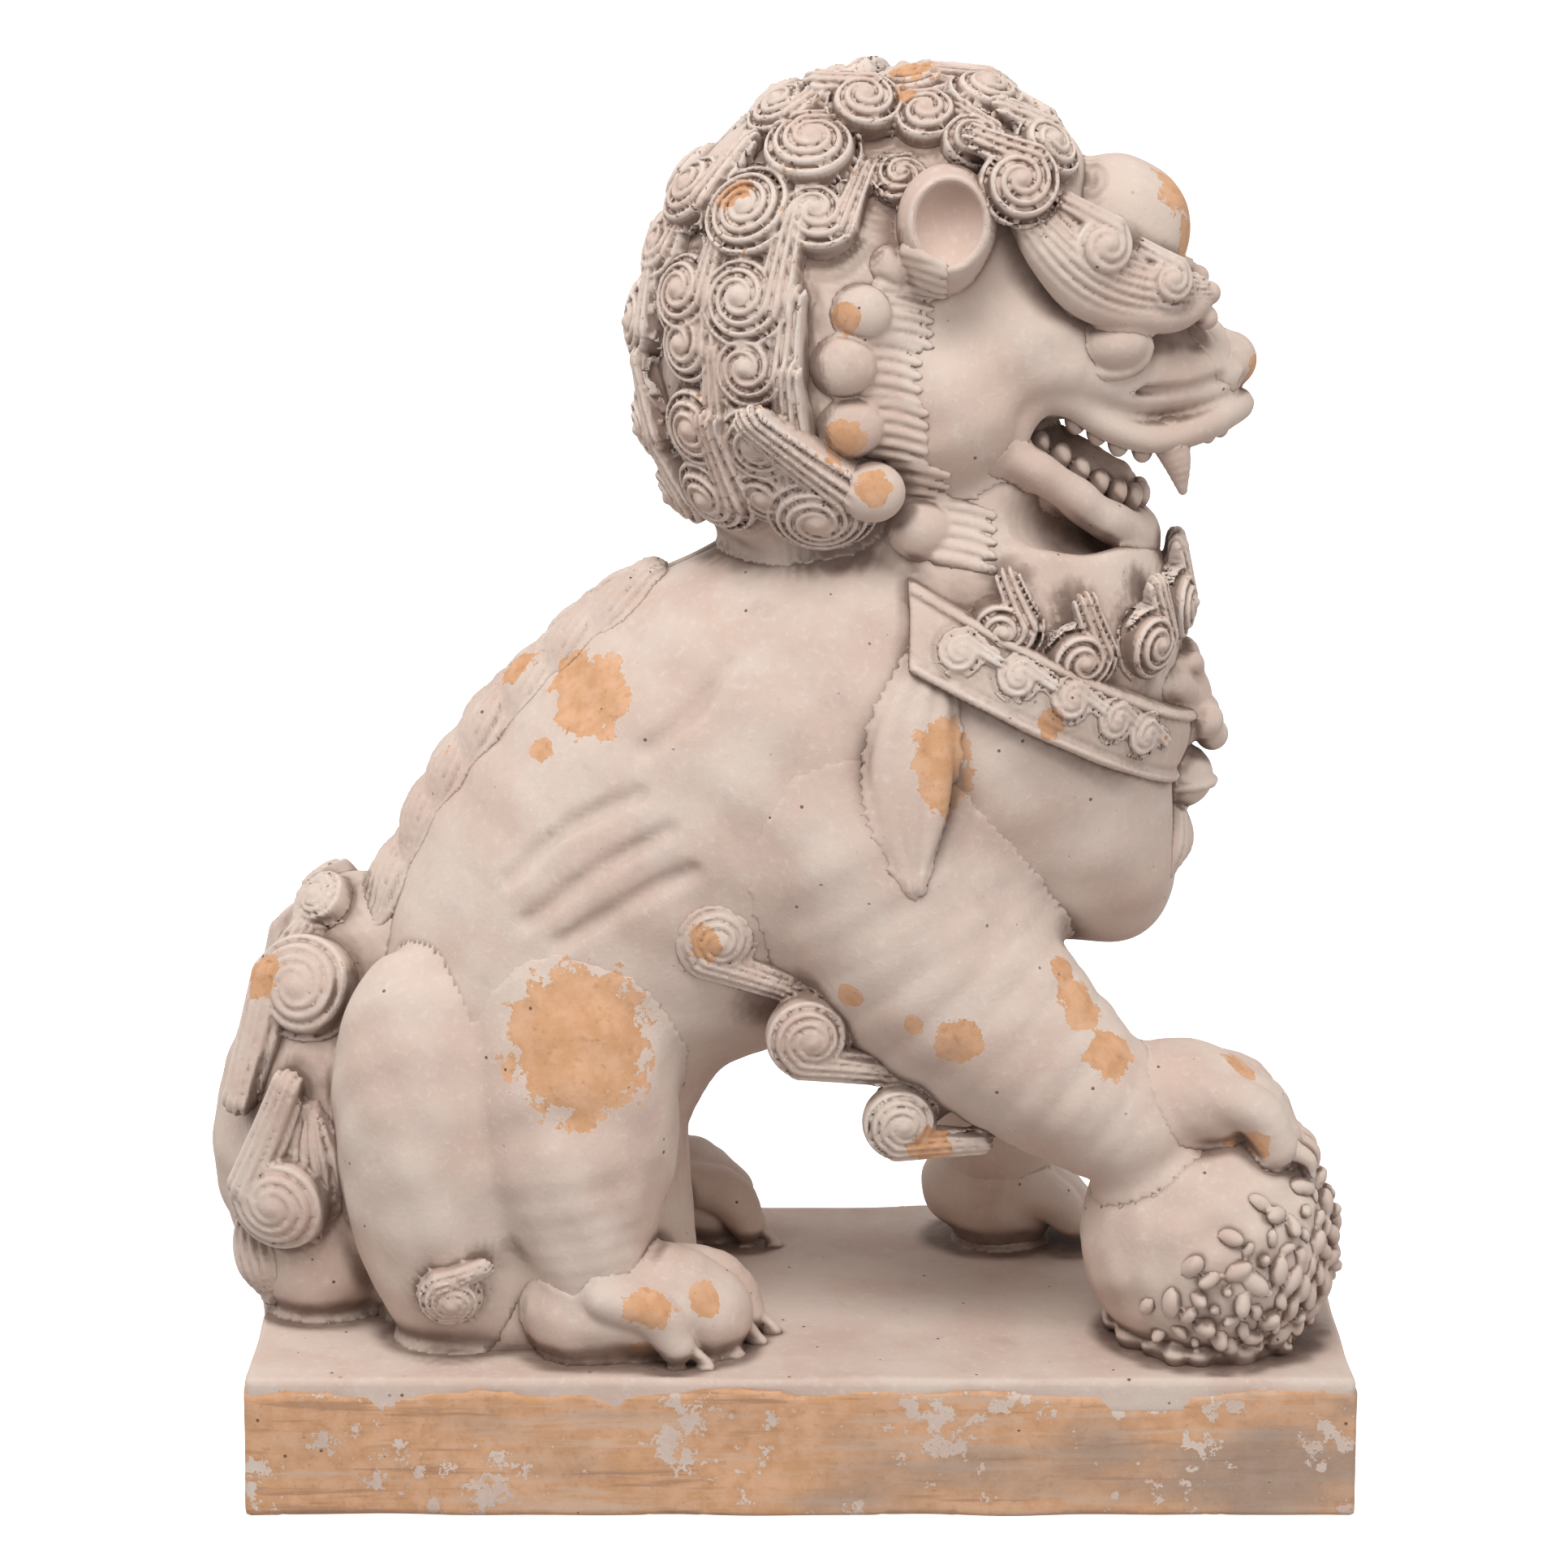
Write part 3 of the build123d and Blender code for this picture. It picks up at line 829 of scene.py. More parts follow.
@dataclass(frozen=True)
class Limewash:
    """Pinkish limewash over tan terracotta, flaked and dusty, with painted shade in its hollows, creases and
    undersides and a painted highlight on its ridges.

    Attributes:
        name: the material's name.
        chipping: how readily the wash flakes away from the clay everywhere.
        streaks: whether the bare clay shows horizontal streaks, as on the plinth's sides.
        tint: the wash's own colour, linear.
        clay: the bare clay's colour, linear.
    """

    name: str
    chipping: float = 0.0
    streaks: bool = False
    tint: tuple[float, float, float] = (0.665, 0.535, 0.460)
    clay: tuple[float, float, float] = (0.640, 0.345, 0.180)

    def material(self) -> bpy.types.Material:
        """Builds the material."""
        g = Graph(self.name)
        marks = g.node("ShaderNodeAttribute", {"attribute_name": "marks"}, output="Color")
        split = g.node("ShaderNodeSeparateColor", Color=marks).socket.node
        hollow, crease, chip = (Wire(g, split.outputs[i]) for i in range(3))

        broad, lumps = g.noise(46.0, 3.0), g.noise(9.0, 3.0)
        grain, dust = g.noise(1.7, 2.0), g.noise(3.6, 4.0, 0.65)
        fleck = g.noise(0.9, 2.0)

        cream = (self.tint[0] * 1.05, self.tint[1] * 1.07, self.tint[2] * 1.07, 1)
        pink = (self.tint[0] * 0.96, self.tint[1] * 0.90, self.tint[2] * 0.88, 1)
        wash = g.mix(broad.ramp(0.36, 0.66), cream, pink)
        wash = g.mix(lumps.ramp(0.55, 0.85) * 0.35, wash, (0.52, 0.40, 0.345, 1))
        wash = g.mix(dust.ramp(0.50, 0.80) * 0.45, wash, (0.80, 0.71, 0.65, 1))

        ochre = (self.clay[0] * 1.15, self.clay[1] * 1.25, self.clay[2] * 1.45, 1)
        umber = (self.clay[0] * 0.72, self.clay[1] * 0.66, self.clay[2] * 0.66, 1)
        bare = g.mix(lumps.ramp(0.35, 0.70), (*self.clay, 1), ochre)
        bare = g.mix(dust.ramp(0.52, 0.75) * 0.55, bare, umber)
        if self.streaks:
            lines = g.noise(7.0, 4.0, 0.6, g.stretched(0.10, 0.10, 1.6))
            bare = g.mix(lines.ramp(0.50, 0.66) * 0.70, bare, (0.66, 0.47, 0.35, 1))
            bare = g.mix(lines.ramp(0.44, 0.32) * 0.60, bare, (0.36, 0.20, 0.12, 1))
            stain = g.noise(70.0, 3.0, 0.5, g.stretched(0.5, 0.5, 1.4)).ramp(0.52, 0.68)
            bare = g.mix(stain * 0.65, bare, (0.30, 0.25, 0.22, 1))

        islands = (g.noise(34.0, 4.0, 0.6) - 0.5) * (1.1 if self.streaks else 0.15)
        ragged = chip + islands + (lumps - 0.5) * 0.85 + (dust - 0.5) * 0.45 + (fleck - 0.5) * 0.12
        worn = (0.5 - crease).ramp(0.10, 0.34) * (dust.ramp(0.50, 0.62)) * 0.30
        shown = (ragged + worn + (self.chipping - 0.36)).ramp(-0.012, 0.016)
        rim = (ragged + worn + (self.chipping - 0.36)).ramp(-0.075, -0.005)
        wash = g.mix(rim * 0.35, wash, (0.80, 0.66, 0.56, 1))
        scuffs = g.noise(2.6, 5.0, 0.7).ramp(0.665, 0.70)
        shown = (shown + scuffs * 0.45).held()
        colour = g.mix(shown, wash, bare)

        # painted shade on the undersides: faces that look downwards are darkened towards pinkish brown, as
        # light from above leaves them
        facing = g.node("ShaderNodeNewGeometry", output="Normal")
        up = Wire(g, g.node("ShaderNodeSeparateXYZ", Vector=facing).socket.node.outputs["Z"])
        under = up.ramp(0.25, -0.75) * (0.6 + broad * 0.6)
        colour = g.mix(under * 0.42, colour, (0.36, 0.215, 0.165, 1))
        # painted shade in the hollows and creases: the clay is darkened towards dark brown there, unevenly
        depth = (hollow.ramp(0.26, 0.88) * 0.95 + crease.ramp(0.56, 0.92) * 0.60).held()
        painted_hollow_shade = (depth * (0.55 + lumps * 0.8)).held()
        colour = g.mix(painted_hollow_shade * 0.84, colour, (0.165, 0.100, 0.074, 1))
        soot = g.noise(24.0, 5.0, 0.62).ramp(0.60, 0.78)
        colour = g.mix(soot * 0.22, colour, (0.30, 0.25, 0.23, 1))
        pits = g.node(
            "ShaderNodeTexVoronoi", {"feature": "F1"}, output="Distance",
            Vector=g.stretched(1, 1, 1), Scale=0.085,
        )
        pit = pits.ramp(0.075, 0.045) * lumps.ramp(0.42, 0.52)
        colour = g.mix(pit * 0.85, colour, (0.085, 0.055, 0.045, 1))
        # painted highlight on the ridges: convex edges where the wash remains are lightened towards near white
        painted_ridge_highlight = (0.5 - crease).ramp(0.06, 0.36)
        colour = g.mix(painted_ridge_highlight * (1.0 - shown) * 0.45, colour, (0.86, 0.78, 0.72, 1))

        height = lumps * 0.35 + dust * 0.30 + grain * 0.16 - shown * 0.16 - pit * 0.9 + broad * 0.2
        bump = g.node("ShaderNodeBump", Strength=0.55, Distance=1.4 * MM, Height=height)
        rough = 0.80 + grain * 0.12 + shown * 0.04
        looks = {"Base Color": colour, "Roughness": rough, "Normal": bump}
        shader = g.node("ShaderNodeBsdfPrincipled", **looks)
        shader.socket.node.inputs["Specular IOR Level"].default_value = 0.28
        return g.closed(shader)


class Slot(Enum):
    """The record's material slots."""

    WASHED = "whitewashed_clay"
    BARE = "bare_clay"


FLAKED = (  # (x, y, z, radius) where the wash has come off the clay, on the right side
    (-90, -92, 200, 28), (-89, -92, 168, 5), (-86, -80, 333, 17), (-106, -82, 313, 5), (-94, -78, 341, 10),
    (58, -92, 322, 12), (60, -92, 306, 11), (65, -78, 202, 9), (46, -78, 209, 4), (20, -76, 219, 5),
    (115, -72, 213, 10), (127, -72, 194, 10), (108, -70, 226, 6), (188, -70, 154, 6), (178, -70, 154, 4),
    (183, -68, 182, 7), (44, -10, 592, 11), (42, -30, 580, 5), (29, -76, 427, 7), (-118, -10, 340, 9),
    (-226, -40, 214, 9), (54, -76, 151, 9), (-39, -80, 239, 7), (101, -60, 330, 6), (139, -35, 310, 9),
    (-62, -92, 89, 9), (-39, -80, 88, 7), (147, -8, 532, 12), (154, -8, 516, 11), (187, 0, 463, 8),
    (17, -76, 495, 6), (17, -76, 446, 8), (-26, -62, 542, 7), (-145, -12, 298, 6), (-66, -80, 67, 6),
    (62, 84, 250, 20), (-110, 84, 180, 24), (-40, 80, 300, 16), (-70, 0, 470, 12), (-230, 20, 150, 14),
)


# ---- the workshop -----------------------------------------------------------------------------
@dataclass
class Piece:
    """One separate piece of clay, ready to be made into a mesh.

    Attributes:
        node: the CAD node it stands for.
        form: its own clay.
        step: distance between its points in mm.
        divide: whether its mesh is cut finer once.
        seam: whether it is cut on the middle plane.
        finish: its material's name.
        slot: its material slot; not used.
    """

    node: str
    form: Form
    step: float
    divide: bool = False
    seam: bool = False
    finish: str = "wash"
    slot: Slot = Slot.WASHED


@dataclass
class Workshop:
    """Lays pieces on one another and turns them into objects.

    Attributes:
        under: all the clay laid so far.
        floor: height at which pieces are cut off, just inside the plinth.
        pieces: the pieces laid so far.
        chips: (x, y, z, radius) where the wash has flaked off.
        materials: each finish's material by its name.
    """

    under: Clay = field(default_factory=Clay)
    floor: float | None = None
    pieces: list[Piece] = field(default_factory=list)
    chips: Sequence[Triple] = FLAKED
    materials: dict[str, bpy.types.Material] = field(default_factory=dict)

    def lay(self, node: str, form: Form, blend: float, step: float, **options: object) -> None:
        """Lays a piece on the clay that is there.

        Args:
            node: the CAD node it stands for.
            form: its clay.
            blend: width over which its edge is smoothed down.
            step: distance between its points in mm.
            options: the piece's other attributes.
        """
        form = form if self.floor is None else Standing(form, self.floor)
        self.pieces.append(Piece(node, LaidOn(form, self.under, blend), step, **options))
        self.under.add(form, blend)

    def lay_halves(self, node: str, form: Form, blend: float, step: float, **options: object) -> None:
        """Lays a form as two halves that meet on the middle plane; node holds {} for the side."""
        form = form if self.floor is None else Standing(form, self.floor)
        whole = LaidOn(form, self.under, blend)
        for name, side in SIDES:
            self.pieces.append(Piece(node.format(name), Half(whole, side), step, seam=True, **options))
        self.under.add(form, blend)

    def beside(self, x: float, z: float, side: float, far: float = 150.0) -> tuple[np.ndarray, np.ndarray]:
        """Returns the clay's outermost point on a side at x and z, and the way it looks there."""
        return on_surface(self.under, (x, side * far, z), (0, -side, 0))

    def seated(self, chip: Triple) -> Triple:
        """Returns a chip moved sideways onto the clay, unless it lies near the middle plane."""
        x, y, z, r = chip
        if abs(y) < 50:
            return chip
        spot, _ = self.beside(x, z, math.copysign(1.0, y))
        return (*spot, r)

    def marks(self, skin: Skin, normals: np.ndarray, whole: Clay) -> np.ndarray:
        """Returns how hollow, how creased and how chipped the clay is at each point, 0 to 1."""
        p = skin.points
        out = np.zeros((len(p), 4), np.float32)
        out[:, 0] = np.clip(1.0 - whole.at(p + normals * HOLLOW_PROBE) / HOLLOW_PROBE, 0, 1)
        above = np.clip(1.0 - whole.at(p + normals * CREASE_PROBE) / CREASE_PROBE, 0, 1)
        below = np.clip(1.0 + whole.at(p - normals * CREASE_PROBE) / CREASE_PROBE, 0, 1)
        out[:, 1] = np.clip(0.5 + 0.5 * (above - below), 0, 1)
        for x, y, z, r in self.chips:
            gap = np.sqrt(((p - np.array((x, y, z), np.float32)) ** 2).sum(1))
            out[:, 2] = np.maximum(out[:, 2], np.clip(1.0 - gap / (CHIP_SPREAD * r), 0, 1))
        out[:, 3] = 1.0
        return out

    def make(self, piece: Piece, fine: bool) -> tuple[Skin, np.ndarray]:
        """Turns a piece into its skin.

        Args:
            piece: the piece.
            fine: whether to use its own point distance, not a coarse one.
        Returns:
            The skin and its marks.
        """
        step = piece.step if fine else piece.step * 2.0
        skin = net(piece.form.at, piece.form.low, piece.form.high, step)
        skin = settle(skin, piece.form, step, 3, 0.5, piece.seam)
        if piece.divide and fine:
            skin = settle(skin.divided(), piece.form, step / 2, 1, 0.0, piece.seam)
        whole = self.under.near(skin.points.min(0) - 12, skin.points.max(0) + 12)
        return skin, self.marks(skin, skin.normals(), whole)

    def unpack(self, fine: bool = True) -> None:
        """Makes every piece into an object of the scene, standing for its CAD node."""
        self.chips = [self.seated(chip) for chip in self.chips]
        with ThreadPoolExecutor(4) as pool:
            made_skins = list(pool.map(lambda piece: self.make(piece, fine), self.pieces))
        for piece, (skin, marks) in zip(self.pieces, made_skins):
            name = f"{piece.node}_clay"
            mesh = bpy.data.meshes.new(name)
            mesh.vertices.add(len(skin.points))
            mesh.vertices.foreach_set("co", (skin.points * MM).astype(np.float32).ravel())
            mesh.loops.add(skin.quads.size)
            mesh.loops.foreach_set("vertex_index", skin.quads.astype(np.int32).ravel())
            mesh.polygons.add(len(skin.quads))
            mesh.polygons.foreach_set("loop_start", np.arange(0, skin.quads.size, 4, dtype=np.int32))
            mesh.polygons.foreach_set("loop_total", np.full(len(skin.quads), 4, np.int32))
            mesh.polygons.foreach_set("use_smooth", np.ones(len(skin.quads), bool))
            mesh.update(calc_edges=True)
            layer = mesh.color_attributes.new("marks", "FLOAT_COLOR", "POINT")
            layer.data.foreach_set("color", marks.ravel())
            mesh.materials.append(self.materials[piece.finish])
            made = bpy.data.objects.new(name, mesh)
            bpy.context.scene.collection.objects.link(made)
            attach(made, "root")
            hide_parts(piece.node)
            LOG.info("%s: %d points", name, len(skin.points))


def sided(points: Iterable[Triple], side: float) -> list[tuple[float, ...]]:
    """Returns points given for the right side (negative Y) on a side."""
    return [(p[0], -side * p[1], *p[2:]) for p in points]


# ---- the lion ---------------------------------------------------------------------------------
@dataclass
class Plinth:
    """A slab on four walls and a cross web, open below.

    Attributes:
        length: along X.
        depth: along Y.
        height: along Z.
        slab: thickness of the slab.
        wall: thickness of the walls.
        lip: how far below the slab's top the walls end.
    """

    length: float = 460.0
    depth: float = 220.0
    height: float = 60.0
    slab: float = 16.0
    wall: float = 14.0
    lip: float = 4.5

    def build(self, shop: Workshop) -> None:
        """Lays the slab, then smears the walls up over its sides."""
        x, y, z = self.length / 2, self.depth / 2, self.height - self.slab
        top = Slab((-x + 0.8, -y + 0.8, z), (x - 0.8, y - 0.8, self.height), 2.2)
        slab = Clay(Rough(top, 50, 0.5, 1)).cut(Limb([(-115, 0, 30, 29), (-115, 0, 80, 29)]), 1.5)
        slab.above(z)
        shop.lay("plinth_top_slab", slab, 0.0, 2.0)
        high = self.height - self.lip
        for name, side in SIDES:
            low_y, high_y = sorted((side * y, side * (y - self.wall)))
            wall = Rough(Slab((-x, low_y, 0), (x, high_y, high), 1.8), 60, 0.5, 2)
            shop.lay(f"plinth_{name}_wall", wall, 1.5, 2.2, finish="bare", slot=Slot.BARE)
        for name, side in (("front", 1.0), ("rear", -1.0)):
            low_x, high_x = sorted((side * x, side * (x - self.wall)))
            wall = Rough(Slab((low_x, -y + 3, 0), (high_x, y - 3, high), 1.8), 60, 0.5, 2)
            shop.lay(f"plinth_{name}_wall", wall, 1.5, 2.2, finish="bare", slot=Slot.BARE)
        web = Slab((-7, -y + self.wall, 0), (7, y - self.wall, z + 1), 1.0)
        shop.lay("plinth_cross_web", web, 1.5, 3.0, finish="bare", slot=Slot.BARE)
        shop.floor = self.height - 2.0


class Trunk(Form):
    """A tube of upright ellipses along a curve in the middle plane."""

    def __init__(self, sections: Sequence[Triple]):
        """Lays the tube through (x, z, half height, half width) sections."""
        self.path = through(sections, 5)
        x, z, tall, wide = self.path.T
        low = ((x - tall).min(), -wide.max(), (z - tall).min())
        self.bound(low, ((x + tall).max(), wide.max(), (z + tall).max()))

    def at(self, p: np.ndarray) -> np.ndarray:
        """Returns the distance at each point."""
        best = np.full(len(p), FAR, np.float32)
        for a, b in zip(self.path[:-1], self.path[1:]):
            run = b[:2] - a[:2]
            x, z = p[:, 0] - a[0], p[:, 2] - a[1]
            t = np.clip((x * run[0] + z * run[1]) / max(float(run @ run), TINY), 0.0, 1.0)
            gap = (x - t * run[0]) ** 2 + (z - t * run[1]) ** 2
            tall, wide = a[2] + (b[2] - a[2]) * t, a[3] + (b[3] - a[3]) * t
            k = np.sqrt(gap / tall**2 + (p[:, 1] / wide) ** 2)
            best = np.minimum(best, (k - 1.0) * np.minimum(tall, wide))
        return best


class Strap(Form):
    """A band of even thickness around a form, between two parallel planes."""

    def __init__(
        self, form: Form, way: Triple, offset: float, half: float, proud: float, box: Sequence[Triple]
    ):
        """Wraps the band.

        Args:
            form: what it lies on.
            way: the planes' normal.
            offset: distance of its middle plane from the origin.
            half: half its width.
            proud: its thickness.
            box: lowest and highest corner of what is kept.
        """
        self.form, self.way, self.offset = form, unit(way), offset
        self.half, self.proud = half, proud
        self.bound(*box)

    def at(self, p: np.ndarray) -> np.ndarray:
        """Returns the distance at each point."""
        across = np.abs(p @ self.way - self.offset)
        side = across - self.half
        skin = self.form.at(p) - self.proud
        edge = np.clip(across / self.half, 0, 1)
        bead = 1.6 * np.exp(-(((edge - 0.86) / 0.10) ** 2)) - 0.8 * np.exp(-(((edge - 0.66) / 0.08) ** 2))
        box = np.maximum(self.low - p, p - self.high).max(1)
        return np.maximum(np.maximum(skin - bead, side), box)


TRUNK_SECTIONS = (
    (-115, 60, 72, 76), (-118, 150, 72, 80), (-90, 225, 85, 80), (-25, 278, 102, 84),
    (35, 305, 106, 86), (75, 352, 84, 72), (50, 424, 48, 52),
)


@dataclass
class Body:
    """The hollow body, luted from two press-moulded halves, with its haunches and hind feet.

    Attributes:
        sections: (x, z, half height, half width) of the body.
        ribs: lines of faint grooves on the flank, each by (x, y, z) points of the right side.
        locks: (x, z) places of the hair locks on the spine.
    """

    sections: Sequence[Triple] = TRUNK_SECTIONS
    ribs: Sequence[Sequence[Triple]] = (
        ((-120, -70, 262), (-95, -78, 285), (-66, -78, 300)),
        ((-112, -76, 246), (-84, -82, 268), (-54, -82, 286)),
        ((-98, -80, 238), (-70, -84, 256), (-44, -84, 270)),
        ((-62, -74, 318), (-44, -78, 334), (-30, -76, 352)),
    )
    locks: Sequence[Triple] = (
        (-73, 362), (-97, 353), (-118, 340), (-136, 322), (-151, 303), (-162, 284), (-176, 256),
    )

    def build(self, shop: Workshop) -> None:
        """Lays the body, its ribs, its haunches and its hind feet."""
        trunk = Clay(Trunk(self.sections), blend=0)
        trunk.add(Egg((118, 0, 275), (36, 52, 60), pitch=25), 26)
        for side in (RIGHT, LEFT):
            for rib in self.ribs:
                seats = [on_surface(trunk, (x, -side * y * 1.7, z), (0, side * y, 0))[0] for x, y, z in rib]
                trunk.cut(Limb([(*s, 2.6) for s in seats]), 5)
        for side in (RIGHT, LEFT):
            trunk.cut(Limb(sided([(128, -22, 402, 13), (104, -46, 408, 14), (88, -62, 414, 10)], side)), 7)
        shop.lay_halves("torso_{}_half", Rough(trunk, 34, 0.7, 4), 3, 2.6)
        self.haunches(shop)

    def haunches(self, shop: Workshop) -> None:
        """Lays the thighs and the hind feet."""
        for name, side in SIDES:
            thigh = Clay(
                Egg((-94, side * 63, 160), (44, 34, 74)),
                Egg((-154, side * 56, 138), (40, 36, 90), pitch=8),
                blend=5,
            )
            thigh.add(Limb(sided([(-94, -70, 140, 33), (-88, -74, 108, 26), (-84, -74, 82, 22)], side)), 8)
            shop.lay(f"{name}_haunch", Rough(thigh, 30, 0.6, 5), 9, 2.2)
            sole = [(-92, -76, 78, 23), (-58, -74, 82, 24), (-40, -73, 76, 20)]
            foot = Clay(Limb(sided(sole, side)), blend=4)
            for y, tip in ((-94, -46), (-81, -34), (-68, -24), (-55, -18)):
                toe = [(tip - 34, y, 90, 10), (tip - 14, y, 84, 10.5), (tip - 5, y, 70, 8.5)]
                foot.add(Limb(sided(toe, side)), 1.4)
                foot.add(Limb(sided([(tip, y, 68, 4), (tip + 7, y, 62, 2)], side)), 0.8)
            shop.lay(f"{name}_hind_foot", Rough(foot, 22, 0.5, 6), 5, 1.8)
            spot, normal = shop.beside(-145, 88, side)
            hock = Curl(spot, normal, (1, 0, 0.5), 14, 8, 1.3, (0, 0, 1))
            shop.lay(f"{name}_hock_curl", hock, 2.5, 1.3)


@dataclass
class Forelegs:
    """The forelegs: the right one rests its paw on the ball, the left one stands on the plinth.

    Attributes:
        ball: the ball's centre.
        radius: the ball's radius.
        fringe: elbow curls of the right side: (x, y, z, radius, tail in radii, x of tail, z of tail).
    """

    ball: Triple = (171.0, -54.0, 104.0)
    radius: float = 53.0
    fringe: Sequence[Triple] = (
        (-34, -80, 240, 18, 2.2, 1, -0.5), (4, -80, 198, 19, 2.2, 1, -0.25), (42, -80, 161, 17, 2.0, 1, -0.1),
    )

    def build(self, shop: Workshop) -> None:
        """Lays the ball, the legs, the paws and the curls behind the elbows."""
        shop.lay("ball", Rough(Egg(self.ball, (self.radius,) * 3), 24, 0.7, 8), 3, 1.8)
        self.relief(shop)
        lines = {
            RIGHT: ((28, 42, 270, 56), (54, 50, 224, 50), (100, 61, 183, 37), (136, 65, 157, 28)),
            LEFT: ((38, 42, 276, 52), (66, 54, 220, 44), (84, 64, 150, 30), (90, 66, 84, 25)),
        }
        palms = {RIGHT: (170, -60, 166), LEFT: (94, 68, 80)}
        for name, side in SIDES:
            leg = Clay(Limb([(x, side * y, z, r) for x, y, z, r in lines[side]]), blend=0)
            shop.lay(f"{name}_foreleg", Rough(leg, 30, 0.6, 7), 12, 2.2)
        for name, side in SIDES:
            self.paw(shop, name, palms[side], side)
            self.elbow(shop, name, side)

    def relief(self, shop: Workshop) -> None:
        """Lays the worn brocade on the ball's front, and crumbs of clay around its foot."""
        rng = np.random.default_rng(SEED)
        lumps = Clay(blend=1.2)
        for i in range(GRAINS):
            z = 1 - (i + 0.5) / (GRAINS / 2)
            turn = i * GOLDEN_TURN
            way = np.array((math.sqrt(1 - z * z) * math.cos(turn), math.sqrt(1 - z * z) * math.sin(turn), z))
            rough = way @ np.array((0.62, -0.20, -0.55)) > rng.uniform(-0.1, 0.3)
            if not rough or way[2] * self.radius + self.ball[2] < 62:
                continue
            spot = np.asarray(self.ball) + way * (self.radius + 0.3)
            size = rng.uniform(2.0, 4.6)
            turned = rng.uniform(0, 180, 2)
            lumps.add(Egg(spot, (size * 1.7, size * 0.9, size), turned[0], turned[1]), 1.2)
        for turn in np.arange(150, 330, 7):
            way = np.array((math.cos(math.radians(turn)), math.sin(math.radians(turn)), 0))
            spot = np.array((self.ball[0], self.ball[1], 64)) + way * rng.uniform(33, 40)
            lumps.add(Egg(spot, rng.uniform(3.0, 6.5, 3), 0, turn), 2.0)
        shop.lay("ball_sprigs", lumps, 1.6, 1.4)

    def paw(self, shop: Workshop, name: str, palm: Triple, side: float) -> None:
        """Lays one paw with four toes, and its claws.

        Args:
            shop: the workshop.
            name: the side's name.
            palm: the paw's middle.
            side: the side's sign.
        """
        x, y, z = palm
        drop = 20 if side < 0 else 8
        paw = Clay(Egg((x - 8, y, z + 2), (32, 28, 22), pitch=-12), blend=4)
        claws = Clay(blend=0)
        for i in range(4):
            ty = y + (i - 1.5) * 12.5
            reach = 32 - 3 * abs(i - 1.5)
            paw.add(
                Limb([(x - 6, ty, z + 8, 10), (x + reach * 0.6, ty, z + 7 - drop * 0.3, 10.5),
                      (x + reach, ty, z - drop * 0.75, 8.5)]), 2.2,
            )
            tip = (x + reach + 5, ty, z - drop * 0.75 - 1)
            bend, point = (tip[0] + 8, ty, tip[2] - 5, 3.2), (tip[0] + 10, ty, tip[2] - 12, 1.2)
            claws.add(Limb([(*tip, 4.4), bend, point]), 0)
        shop.lay(f"{name}_forepaw", Rough(paw, 22, 0.5, 9), 5, 1.6)
        shop.lay(f"{name}_fore_claws", claws, 1.5, 1.1)

    def elbow(self, shop: Workshop, name: str, side: float) -> None:
        """Lays the curls behind one elbow and the flap over the shoulder."""
        curls = Clay(blend=2)
        for x, y, z, r, tail, tx, tz in self.fringe:
            curls.add(Limb([(x, side * 62, z, 0.75 * r), (x + 34, side * 44, z + 30, 1.2 * r)]), 4)
            spot, normal = (x, side * 74, z), (0.1, side, -0.1)
            curls.add(Curl(spot, normal, (tx, 0, tz), r, 0.55 * r, tail, (0, 0, -1)), 3)
        shop.lay(f"{name}_elbow_curls", curls, 2.5, 1.3)
        line = [(52, -80, 352, 10), (46, -86, 326, 17), (44, -90, 296, 16), (46, -90, 268, 4)]
        seats = [(*shop.beside(x, z, side, 160)[0], r) for x, y, z, r in line]
        flap = Lock(seats, (0.1, side, 0.15), 6.5, 3, 1.0)
        shop.lay(f"{name}_shoulder_flap", flap, 3.0, 1.5)


